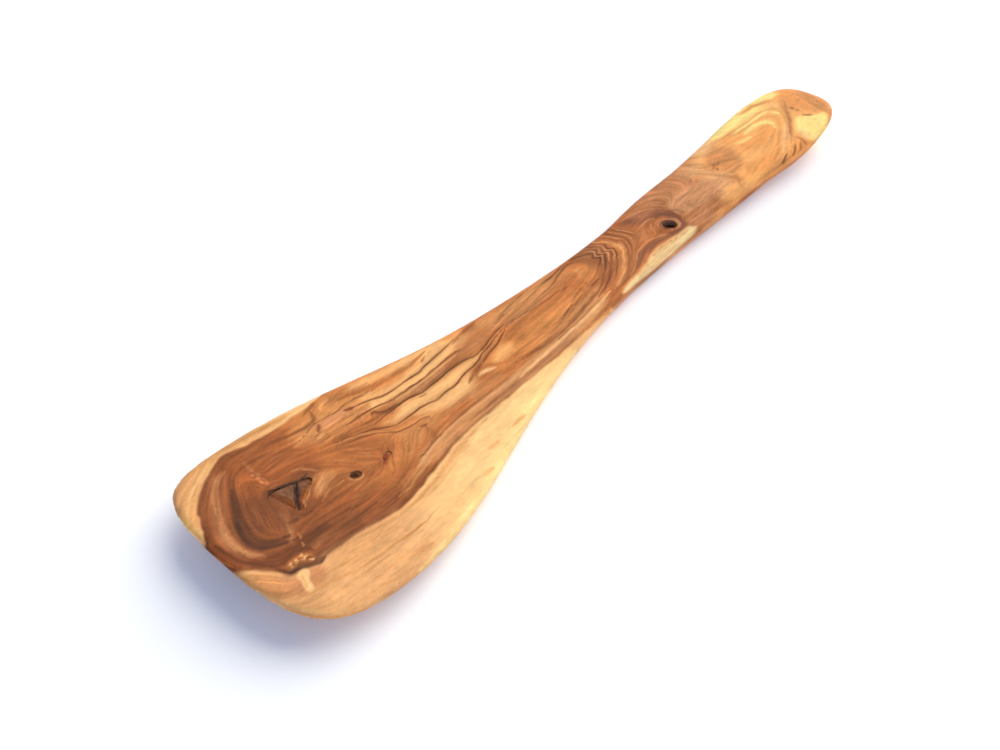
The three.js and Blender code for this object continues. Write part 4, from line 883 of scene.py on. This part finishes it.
    line("rust", 0.85, 0.35, [(133.4, -4.3), (134.6, -5.6), (136.2, -7.3)]),
    line("rust", 0.7, 0.5, [(104, -14.6), (107, -13.8), (110, -12.6)]),
    line("rust", 0.7, 0.5, [(110, -15.4), (113.6, -14), (117, -12)]),
    line("rust", 0.65, 0.5, [(114.6, -15.8), (117.4, -14.2), (119.6, -12.6)]),
    line("rust", 0.5, 0.5, [(119, -15.6), (120.6, -12.6), (120.8, -9.6)]),
    line("rust", 0.3, 0.6, [(90, -13), (104, -14.4), (116, -15.8)]),
    # places lighter or darker than their surround
    patch("heart", 0.3, 2, [(-85, 32), (-75, 30), (-75, 27.4), (-85, 27.6)]),
    patch("heart", 0.28, 2, [(-75, 22.4), (-65, 21.6), (-65, 18), (-75, 18)]),
    patch("red", 0.3, 2, [(-95, 2.2), (-86, 1.8), (-85, -2), (-95, -2.4)]),
    patch("fleck", 0.3, 1.5, [(-67, 12.2), (-54, 12), (-54, 9.8), (-66, 10)]),
    patch("cream", 0.3, 1.8, [(-67, 2), (-60, 2.4), (-54, 1.6), (-54, -1.8), (-63, -2)]),
    patch("fleck", 0.35, 1.8, [(-57, -2.8), (-45, -3), (-44, -6.6), (-56, -6.4)]),
    patch("red", 0.35, 2, [(35, 2), (45, 2.4), (45, -2.4), (35, -2)]),
    patch("heart", 0.35, 1.4, [(146.4, 7), (153, 7), (153, -9), (145.6, -9)]),
    patch("pink", 0.55, 1.8, [(56, -7.8), (65, -7.6), (65, -13), (56, -13)]),
    patch("cream", 0.6, 1.4, [(-18, -14.4), (-6, -14.4), (-5, -18), (-18, -19)]),
    line("orange", 0.5, 1.2, [(104, -15.2), (114, -16), (123, -16.4)]),
    # painted highlight on the rounded near edge at the handle's end
    line("edge", 0.65, 1.2, [(126, -16.4), (130, -16.2), (135, -15.4)]),
    line("pink", 0.55, 0.3, [(46.6, 1.8), (48.2, 2.2), (50.2, 2)]),
    line("fleck", 0.6, 0.3, [(53.5, -0.6), (53.8, -2.8), (53, -4.8), (51.4, -5.7)]),
    line("fleck", 0.5, 0.25, [(59.4, -1.5), (61, -2.3), (62.2, -1.9)]),
    line("fleck", 0.5, 0.25, [(60.4, -3.1), (61.4, -3.8), (62.4, -3.3)]),
    line("pink", 0.55, 0.35, [(74, 5), (76.6, 6), (79.6, 7.2)]),
    line("pink", 0.45, 0.3, [(66, 3), (69.6, 4.6), (73, 6)]),
    line("fleck", 0.4, 0.25, [(63, -6), (67, -5.2), (70.4, -5)]),
    patch("sapLine", 0.35, 3, [(-128, -18), (-112, -19), (-108, -23), (-126, -24)]),
    patch("fleck", 0.45, 2, [(75, 12.6), (85, 12.8), (85, 7.6), (75, 7.6)]),
    patch("dun", 0.45, 2, [(44, 18), (58, 18), (56, 8), (45, 8)]),
    patch("dun", 0.3, 1.6, [(15, 12.4), (25, 12), (25, 8), (15, 8)]),
    patch("heart", 0.35, 2, [(-125, 32), (-115, 31), (-115, 27.6), (-125, 28)]),
    line("orange", 0.45, 1, [(94, -14.6), (104, -15.4)]),
    patch("pink", 0.5, 1.2, [(5, -14), (16, -13), (16, -17), (5, -17.4)]),
]

grain = {
    "base": "heart",
    "strayAlong": [(0.25, 0.4, 0.5, 3), (0.0375, 1.1, 1.3, 4)],  # mm that the lines stray along the board
    "strayAcross": [(0.25, 0.35, 0.6, 5), (0.0375, 0.9, 1.4, 6)],
    "broken": [(0.25, 0.25, 0.35, 7)],  # how unevenly a line covers
    "lineEnds": (0.25, 1.2),  # its width at the ends, and what it gains towards the middle
    "lineReach": 3,  # times its width, where it no longer shows
    "mottle": [(0.03, 0.22, 0.3, 21), (0.02, 0.5, 0.8, 22)],
    "flowFrom": (-156, -45),  # mm, corners of the grid that keeps the grain's direction
    "flowTo": (157.5, 46.5),
    "flowCell": 1.5,  # mm between its places
    "flowGuide": 2,  # mm, lines of less half width guide the grain
    "flowSoft": 1.5,  # mm squared, so that a line's pull has no sharp peak
    "flowFall": 1.5,  # how fast that pull falls off
    "along": 0.002,  # pull of the grain to the length of the board, far from any line
    "streaks": [(0.8, 0.8, 11, 0.08), (1.6, 0.5, 12, 0.09), (2.6, 0.4, 13, 0.09)],  # fineness, mm, seed, depth
    "streakSteps": 14,  # each so many mm long
    "pale": (110, 180),  # green of the wood where streaks begin to weaken, and where they are weakest
    "paleWeakens": 0.72,
    "lean": (0.855, 0.635),  # mm that the figure leans for each mm of depth, to the front and to the right
    "leanGrows": 1 / 280,  # more lean to the front, for each mm towards the handle
    "skin": 0.2,  # mm under the ridge where the figure was drawn
    "below": -0.2,  # what looks down more than this is the underside, which has larger faces
    "blurBelow": 0.6,  # mm, so lines are drawn softer there
    "wallRimAndShade": ((0.26, 0.13, 0.07), (0.02, 0.012, 0.009)),  # linear, on a pocket's walls: a dark rim at the knot, then painted shade deep in it
    "wallDepth": 1.1,  # mm from the one to the other
}


def toPath(x, y, path):  # distance to the path, share of the way along it, and side
    nearest, share, side = np.full(x.shape, 1e9), np.zeros(x.shape), np.zeros(x.shape)
    steps = np.diff(path, axis=0)
    lengths = np.maximum(np.hypot(steps[:, 0], steps[:, 1]), 1e-6)
    starts = np.concatenate([[0], np.cumsum(lengths)])
    for (ax, ay), (dx, dy), length, start in zip(path, steps, lengths, starts):
        t = np.clip(((x - ax) * dx + (y - ay) * dy) / length ** 2, 0, 1)
        ex, ey = x - ax - t * dx, y - ay - t * dy
        near = ex * ex + ey * ey < nearest
        nearest[near] = (ex * ex + ey * ey)[near]
        share[near] = ((start + t * length) / starts[-1])[near]
        side[near] = (dx * ey - dy * ex)[near]
    return np.sqrt(nearest), share, side


def insideLoop(x, y, loop):
    within = np.zeros(x.shape, bool)
    for (ax, ay), (bx, by) in zip(loop, np.roll(loop, -1, axis=0)):
        if ay != by:
            within ^= ((ay > y) != (by > y)) & (x < (bx - ax) * (y - ay) / (by - ay) + ax)
    return within


def coverage(x, y, mark, blur=0):  # how strongly a line or patch covers each place
    cover = np.zeros(x.shape)
    isLine = "width" in mark
    path = smoothPath(mark["at"], closed=not isLine)
    reach = mark.get("soft", 0)
    if isLine:
        reach = grain["lineReach"] * (mark["width"] * (1 + abs(mark["fade"])) + np.max(blur))
    low, high = path.min(0) - reach, path.max(0) + reach
    near = (x > low[0]) & (x < high[0]) & (y > low[1]) & (y < high[1])
    distance, share, side = toPath(x[near], y[near], path)
    if isLine:
        thin, gain = grain["lineEnds"]
        width = mark["width"] * np.clip(thin + gain * np.sin(np.pi * share), 0, 1)
        width = np.where(side * mark["fade"] > 0, width * (1 + abs(mark["fade"])), width)
        spread = np.hypot(width, np.broadcast_to(blur, x.shape)[near])
        cover[near] = width / spread * np.exp(-(distance / spread) ** 2)
    else:
        signed = np.where(insideLoop(x[near], y[near], path), distance, -distance)
        t = np.clip(0.5 + 0.5 * signed / mark["soft"], 0, 1)
        cover[near] = t * t * (3 - 2 * t)
    return cover * mark["strength"]


def flowOfGrain():  # the direction of the grain on a coarse grid, from the lines drawn near each place
    xs, ys = [np.arange(*ends, grain["flowCell"]) for ends in zip(grain["flowFrom"], grain["flowTo"])]
    gx, gy = np.meshgrid(xs, ys, indexing="ij")
    turnX, turnY = np.full(gx.shape, grain["along"]), np.zeros(gx.shape)  # of twice the angle
    for mark in figure:
        if "width" in mark and mark["width"] < grain["flowGuide"]:
            path = smoothPath(mark["at"])
            for (px, py), (dx, dy) in zip(path, np.diff(path, axis=0)):
                away = (gx - px) ** 2 + (gy - py) ** 2 + grain["flowSoft"]
                pull = 1 / away ** grain["flowFall"] / (dx * dx + dy * dy + 1e-9)
                turnX += pull * (dx * dx - dy * dy)
                turnY += pull * 2 * dx * dy
    size = np.hypot(turnX, turnY)
    return turnX / size, turnY / size


def flowAt(flow, x, y):
    (left, low), (columns, rows) = grain["flowFrom"], flow[0].shape
    u = np.clip((x - left) / grain["flowCell"], 0, columns - 1.01)
    v = np.clip((y - low) / grain["flowCell"], 0, rows - 1.01)
    i, j = u.astype(int), v.astype(int)
    u, v = u - i, v - j
    turnX, turnY = [between(part, i, j, i + 1, j + 1, u, v) for part in flow]
    angle = np.arctan2(turnY, turnX) / 2
    return np.cos(angle), np.sin(angle)


def streaksAlong(flow, x, y, fineness, step, seed):  # noise drawn out along the grain
    count = grain["streakSteps"]
    total, weight = patchyNoise(x * fineness, y * fineness, seed), 1.0
    for way in (1, -1):
        px, py, lastX, lastY = x, y, way, 0
        for turn in range(count):
            dx, dy = flowAt(flow, px, py)
            flip = np.where(dx * lastX + dy * lastY < 0, -1, 1)
            lastX, lastY = dx * flip, dy * flip
            px, py = px + lastX * step, py + lastY * step
            total = total + (1 - turn / count) * patchyNoise(px * fineness, py * fineness, seed)
            weight += 1 - turn / count
    return total / math.sqrt(weight)


grainFlow = flowOfGrain()


def woodColour(x, y, blur):  # sRGB colour and streak height of the wood at each place
    wx, wy = x + layered(x, y, grain["strayAlong"]), y + layered(x, y, grain["strayAcross"])
    colour = np.tile(np.array(tints[grain["base"]], float), (x.size, 1))
    broken = 1 + layered(x, y, grain["broken"])
    for mark in figure:
        cover = coverage(wx, wy, mark, blur)
        if "width" in mark:
            cover = np.clip(cover * broken, 0, 1)
        colour += cover[:, None] * (np.array(tints[mark["tint"]], float) - colour)
    low, high = grain["pale"]
    paleness = np.clip((colour[:, 1] - low) / (high - low), 0, 1)
    streak = np.zeros(x.size)
    for fineness, step, seed, depth in grain["streaks"]:
        streak += depth * streaksAlong(grainFlow, x, y, fineness, step, seed)
    weaker = streak * (1 - grain["paleWeakens"] * paleness)
    colour *= (1 + weaker + layered(x, y, grain["mottle"]))[:, None]
    return np.clip(colour, 0, 255), streak


# where on the drawing each place of the board lies: the layers of the wood lean, so depth shifts them
def leaning(x, y, z):
    ridge = np.interp(x, *ridgeLine)
    depth = ridge - grain["skin"] - z
    return x - depth * (grain["lean"][0] + x * grain["leanGrows"]), y - depth * grain["lean"][1]


def findRidge(piece):  # height of the top along the board, carried on past its rounded ends
    places = np.array([vertex.co for vertex in piece.data.vertices]) / mm
    step, end, tip = board["ridgeStep"], board["ridgeEnd"], board["ridgeTip"]
    xs = np.arange(-end, end + 1, step)
    heights = [places[np.abs(places[:, 0] - x) < step / 2, 2].max() for x in xs]
    onward = (tip - end) / step
    first = heights[0] - onward * (heights[1] - heights[0])
    last = heights[-1] + onward * (heights[-1] - heights[-2])
    return np.concatenate([[-tip], xs, [tip]]), np.array([first, *heights, last])


body = makeBoard()
ridgeLine = findRidge(body)
print("board smoothed:", len(body.data.polygons), "faces")
refineTop(body)
print("top refined:", len(body.data.polygons), "faces")
for node in board["spread"]:
    cutPocket(body, node)
cutCrack(body)
print("pockets cut:", len(body.data.polygons), "faces")
selectOnly(body)
bpy.ops.object.shade_smooth_by_angle(angle=math.radians(board["creaseAngle"]))


def toLinear(colour):  # from sRGB, 0 to 255
    share = colour / 255
    return np.where(share < 0.04, share / 12.92, ((share + 0.055) / 1.055) ** 2.4)


# keeps the figure and the streaks as attributes that the materials read
def paintWood(piece, blurBelow=0):
    places = np.array([vertex.co for vertex in piece.data.vertices]) / mm
    below = np.array([vertex.normal.z for vertex in piece.data.vertices]) < grain["below"]
    colour, streak = woodColour(*leaning(*places.T), np.where(below, blurBelow, 0))
    depth = np.interp(places[:, 0], *ridgeLine) - places[:, 2]
    down = np.clip(depth / grain["wallDepth"], 0, 1)[:, None]
    wallRimAndShade = np.array(grain["wallRimAndShade"][0]) * (1 - down) + np.array(grain["wallRimAndShade"][1]) * down
    corners = toLinear(colour)[[corner.vertex_index for corner in piece.data.loops]]
    for face in piece.data.polygons:
        if face.material_index > 0:  # walls of the pockets and the crack: a dark rim, then painted shade deeper in
            for corner in face.loop_indices:
                corners[corner] = wallRimAndShade[piece.data.loops[corner].vertex_index]
            face.material_index = 0
    rgba = np.hstack([corners, np.ones((len(corners), 1))]).astype(np.float32)
    piece.data.attributes.new("figure", "FLOAT_COLOR", "CORNER").data.foreach_set("color", rgba.ravel())
    piece.data.attributes.new("streak", "FLOAT", "POINT").data.foreach_set("value", streak.astype(np.float32))
    piece.data.materials.clear()


paintWood(body, grain["blurBelow"])
triangles = sum(len(face.vertices) - 2 for face in body.data.polygons)
print("figure drawn:", len(figure), "lines and patches,", triangles, "triangles")


def newMaterial(name):
    material = bpy.data.materials.new(name)
    material.use_nodes = True
    nodes, links = material.node_tree.nodes, material.node_tree.links
    return material, nodes, links, nodes["Principled BSDF"]


def addNode(nodes, kind, inputs=None, **values):
    node = nodes.new(kind)
    for key, value in values.items():
        setattr(node, key, value)
    for key, value in (inputs or {}).items():
        node.inputs[key].default_value = value
    return node


def addRange(nodes, links, value, span, made):  # turns one span of values into another
    names = ("From Min", "From Max", "To Min", "To Max")
    node = addNode(nodes, "ShaderNodeMapRange", dict(zip(names, (*span, *made))))
    links.new(value, node.inputs["Value"])
    return node


def addNoise(nodes, links, scale, detail, roughness):
    place = addNode(nodes, "ShaderNodeTexCoord")
    stretch = addNode(nodes, "ShaderNodeMapping", {"Scale": scale})
    noise = addNode(nodes, "ShaderNodeTexNoise", {"Scale": 1, "Detail": detail, "Roughness": roughness})
    links.new(place.outputs["Object"], stretch.inputs["Vector"])
    links.new(stretch.outputs["Vector"], noise.inputs["Vector"])
    return noise.outputs["Fac"]


def addMath(nodes, links, operation, first, second):
    node = addNode(nodes, "ShaderNodeMath", operation=operation)
    links.new(first, node.inputs[0])
    links.new(second, node.inputs[1])
    return node.outputs[0]


# the painted figure, lighter and darker with a tone, and the relief of the surface
def dress(nodes, links, shader, tint, tone, height, settings):
    toned = addNode(nodes, "ShaderNodeVectorMath", operation="SCALE")
    links.new(tint.outputs["Color"], toned.inputs[0])
    links.new(tone, toned.inputs["Scale"])
    links.new(toned.outputs["Vector"], shader.inputs["Base Color"])
    relief = {"Strength": settings["bumpStrength"], "Distance": settings["bumpDepth"]}
    bump = addNode(nodes, "ShaderNodeBump", relief)
    links.new(height, bump.inputs["Height"])
    links.new(bump.outputs["Normal"], shader.inputs["Normal"])


finish = {
    "fibreScale": (420, 1500, 1500),  # per metre: longer along the board, fine across it
    "fibreDetail": 3,
    "fibreSpan": (0.3, 0.7),
    "fibreTone": (0.91, 1.09),
    "poreScale": (700, 4200, 4200),
    "poreDetail": 1,
    "poreSpan": (0.25, 0.4),
    "poreDark": (0.66, 0.95),  # on dark wood, and on pale wood, where pores hardly show
    "paleSpan": (0.2, 0.55),  # linear green of dark and of pale wood
    "noiseRoughness": 0.6,
    "glossSpan": (0.25, 0.75),
    "roughness": (0.46, 0.62),
    "specular": 0.1,
    "bumpStrength": 0.25,
    "bumpDepth": 0.12 * mm,
}


def oliveWood():
    material, nodes, links, shader = newMaterial("olive_wood_figure")
    tint = addNode(nodes, "ShaderNodeAttribute", attribute_name="figure")
    streak = addNode(nodes, "ShaderNodeAttribute", attribute_name="streak")
    rough = finish["noiseRoughness"]
    fibres = addNoise(nodes, links, finish["fibreScale"], finish["fibreDetail"], rough)
    pores = addNoise(nodes, links, finish["poreScale"], finish["poreDetail"], rough)
    bare = addNode(nodes, "ShaderNodeSeparateColor")
    links.new(tint.outputs["Color"], bare.inputs["Color"])
    poreDark = addRange(nodes, links, bare.outputs["Green"], finish["paleSpan"], finish["poreDark"])
    poreTone = addRange(nodes, links, pores, finish["poreSpan"], (0, 1))
    links.new(poreDark.outputs["Result"], poreTone.inputs["To Min"])
    fibreTone = addRange(nodes, links, fibres, finish["fibreSpan"], finish["fibreTone"])
    tone = addMath(nodes, links, "MULTIPLY", fibreTone.outputs["Result"], poreTone.outputs["Result"])
    relief = addMath(nodes, links, "ADD", fibres, streak.outputs["Fac"])
    dress(nodes, links, shader, tint, tone, relief, finish)
    gloss = addRange(nodes, links, fibres, finish["glossSpan"], finish["roughness"])
    links.new(gloss.outputs["Result"], shader.inputs["Roughness"])
    shader.inputs["Specular IOR Level"].default_value = finish["specular"]
    return material


body.data.materials.append(oliveWood())
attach(body, "root")
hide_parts("spatula_body")
print("wood finished")

# the knots: rough, slightly sunk cores in their pockets, with the figure drawn on across them; in mm
knots = {
    "blade_knot": {"name": "blade_knot_core", "slot": "dead_knot", "swell": 0.6, "sink": 0.42,
                   "rough": 0.35, "grainSize": 1.4, "tone": (0.7, 1.2)},
    "blade_knot_bark": {"name": "blade_knot_bark_wedge", "slot": "ingrown_bark", "swell": 0.55, "sink": 0.6,
                        "rough": 0.4, "grainSize": 1.5, "tone": (0.6, 1.25)},
    "pin_knot": {"name": "pin_knot_core", "slot": "dark_knot", "swell": 0.1, "sink": 0.1,
                 "rough": 0.15, "grainSize": 0.8, "tone": (0.6, 1.3)},
    "small_pin_knot": {"name": "small_pin_knot_core", "slot": "red_knot", "swell": 0.12, "sink": 0,
                       "rough": 0.05, "grainSize": 0.8, "tone": (0.75, 1.2)},
    # the eye's core is toned nearly to black: its dark wood with painted shade at the bottom of the pit
    "handle_knot": {"name": "handle_knot_core", "slot": "dark_knot", "swell": 0.1, "sink": 0.2,
                    "rough": 0.4, "grainSize": 1, "tone": (0.35, 1)},
}
deadWood = {  # what all of them share
    "voxel": 0.22 * mm,
    "smoothing": 4,
    "endFacing": 0.4,  # of the ends that are sunk
    "detail": 4,
    "noiseRoughness": 0.65,
    "toneSpan": (0.3, 0.7),
    "bumpStrength": 0.25,
    "bumpDepth": 0.3 * mm,
    "roughness": 0.75,
    "specular": 0.05,
}


def knotFinish(knot):
    material, nodes, links, shader = newMaterial(knot["name"])
    tint = addNode(nodes, "ShaderNodeAttribute", attribute_name="figure")
    fineness = 1 / (knot["grainSize"] * mm)
    noise = addNoise(nodes, links, (fineness,) * 3, deadWood["detail"], deadWood["noiseRoughness"])
    tone = addRange(nodes, links, noise, deadWood["toneSpan"], knot["tone"])
    dress(nodes, links, shader, tint, tone.outputs["Result"], noise, deadWood)
    shader.inputs["Roughness"].default_value = deadWood["roughness"]
    shader.inputs["Specular IOR Level"].default_value = deadWood["specular"]
    return material


def makeKnot(node, knot):
    piece = copyOfNode(node, knot["name"])
    remesh(piece, deadWood["voxel"], deadWood["smoothing"])
    inEditMode(piece, lambda: bpy.ops.transform.shrink_fatten(value=knot["swell"] * mm))
    crumble = bpy.data.textures.new(knot["name"] + "_crumble", "CLOUDS")
    crumble.noise_scale = knot["grainSize"] * mm
    addAndApply(piece, "DISPLACE", texture=crumble, strength=knot["rough"] * mm, mid_level=1.0)
    moveEnds(piece, (1, -1), deadWood["endFacing"], -knot["sink"] * mm)
    remesh(piece, deadWood["voxel"])  # closes what the sinking folded
    if node == "blade_knot":
        cutCrack(piece)
    paintWood(piece)
    piece.data.materials.append(knotFinish(knot))
    selectOnly(piece)
    bpy.ops.object.shade_smooth()
    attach(piece, "root")
    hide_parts(node)


for node, knot in knots.items():
    makeKnot(node, knot)
print("knots made")

# floor, light and camera
studio = {
    "cameraAt": (-0.23766, -0.17704, 0.2878),
    "cameraTurn": -48.34,  # degrees
    "cameraHeight": 47.14,
    "lens": 43.2,
    "sensor": 36,
    "nearest": 0.01,  # metres in front of the camera
    "sky": 0.47,
    "skyColour": (0.56, 0.69, 1),
    "keyFrom": (0.8, 0.02, 0.56),  # the way to the light
    "keyWidth": 76,  # degrees: wide and soft
    "keyPower": 4.1,
    "keyColour": (1, 0.93, 0.745),
    "fillFrom": (-0.62, -0.45, 0.35),  # faint and warm, from the side of the camera
    "fillWidth": 40,
    "fillPower": 0.35,
    "fillColour": (1, 0.88, 0.7),
    "floorGlow": 0.15,  # lifts the floor to white, for the camera and in reflections
    "floorColour": (0.97, 0.975, 1),
    "floorRoughness": 0.9,
    "floorSize": 6,
}


def makeStage():
    selectOnly(body)
    bpy.ops.mesh.primitive_plane_add(size=studio["floorSize"], location=(0, 0, 0))
    floor = bpy.context.object
    floor.name = "studio_floor"
    paint, nodes, links, shader = newMaterial("floor_white")
    shader.inputs["Base Color"].default_value = (*studio["floorColour"], 1)
    shader.inputs["Roughness"].default_value = studio["floorRoughness"]
    shader.inputs["Emission Color"].default_value = (*studio["skyColour"], 1)
    rays = addNode(nodes, "ShaderNodeLightPath")
    seen = rays.outputs["Is Camera Ray"]
    for kind in ("Is Glossy Ray", "Is Transmission Ray"):
        seen = addMath(nodes, links, "MAXIMUM", seen, rays.outputs[kind])
    glow = addNode(nodes, "ShaderNodeMath", {1: studio["floorGlow"]}, operation="MULTIPLY")
    links.new(seen, glow.inputs[0])
    links.new(glow.outputs[0], shader.inputs["Emission Strength"])
    floor.data.materials.append(paint)

    world = bpy.data.worlds.new("studio")
    world.use_nodes = True
    sky = world.node_tree.nodes["Background"]
    sky.inputs["Color"].default_value = (*studio["skyColour"], 1)
    sky.inputs["Strength"].default_value = studio["sky"]
    bpy.context.scene.world = world

    for name in ("key", "fill"):
        bpy.ops.object.light_add(type="SUN", location=studio[name + "From"])
        lamp = bpy.context.object
        lamp.data.angle = math.radians(studio[name + "Width"])
        lamp.data.energy = studio[name + "Power"]
        lamp.data.color = studio[name + "Colour"]
        lamp.rotation_euler = Vector(studio[name + "From"]).to_track_quat("Z", "Y").to_euler()

    bpy.ops.object.camera_add(location=studio["cameraAt"])
    camera = bpy.context.object
    camera.data.lens = studio["lens"]
    camera.data.sensor_width = studio["sensor"]
    camera.data.clip_start = studio["nearest"]
    tilt = math.radians(90 - studio["cameraHeight"])
    camera.rotation_euler = (tilt, 0, math.radians(studio["cameraTurn"]))
    bpy.context.scene.camera = camera
    bpy.context.scene.view_settings.view_transform = "Standard"


makeStage()
print("studio set")
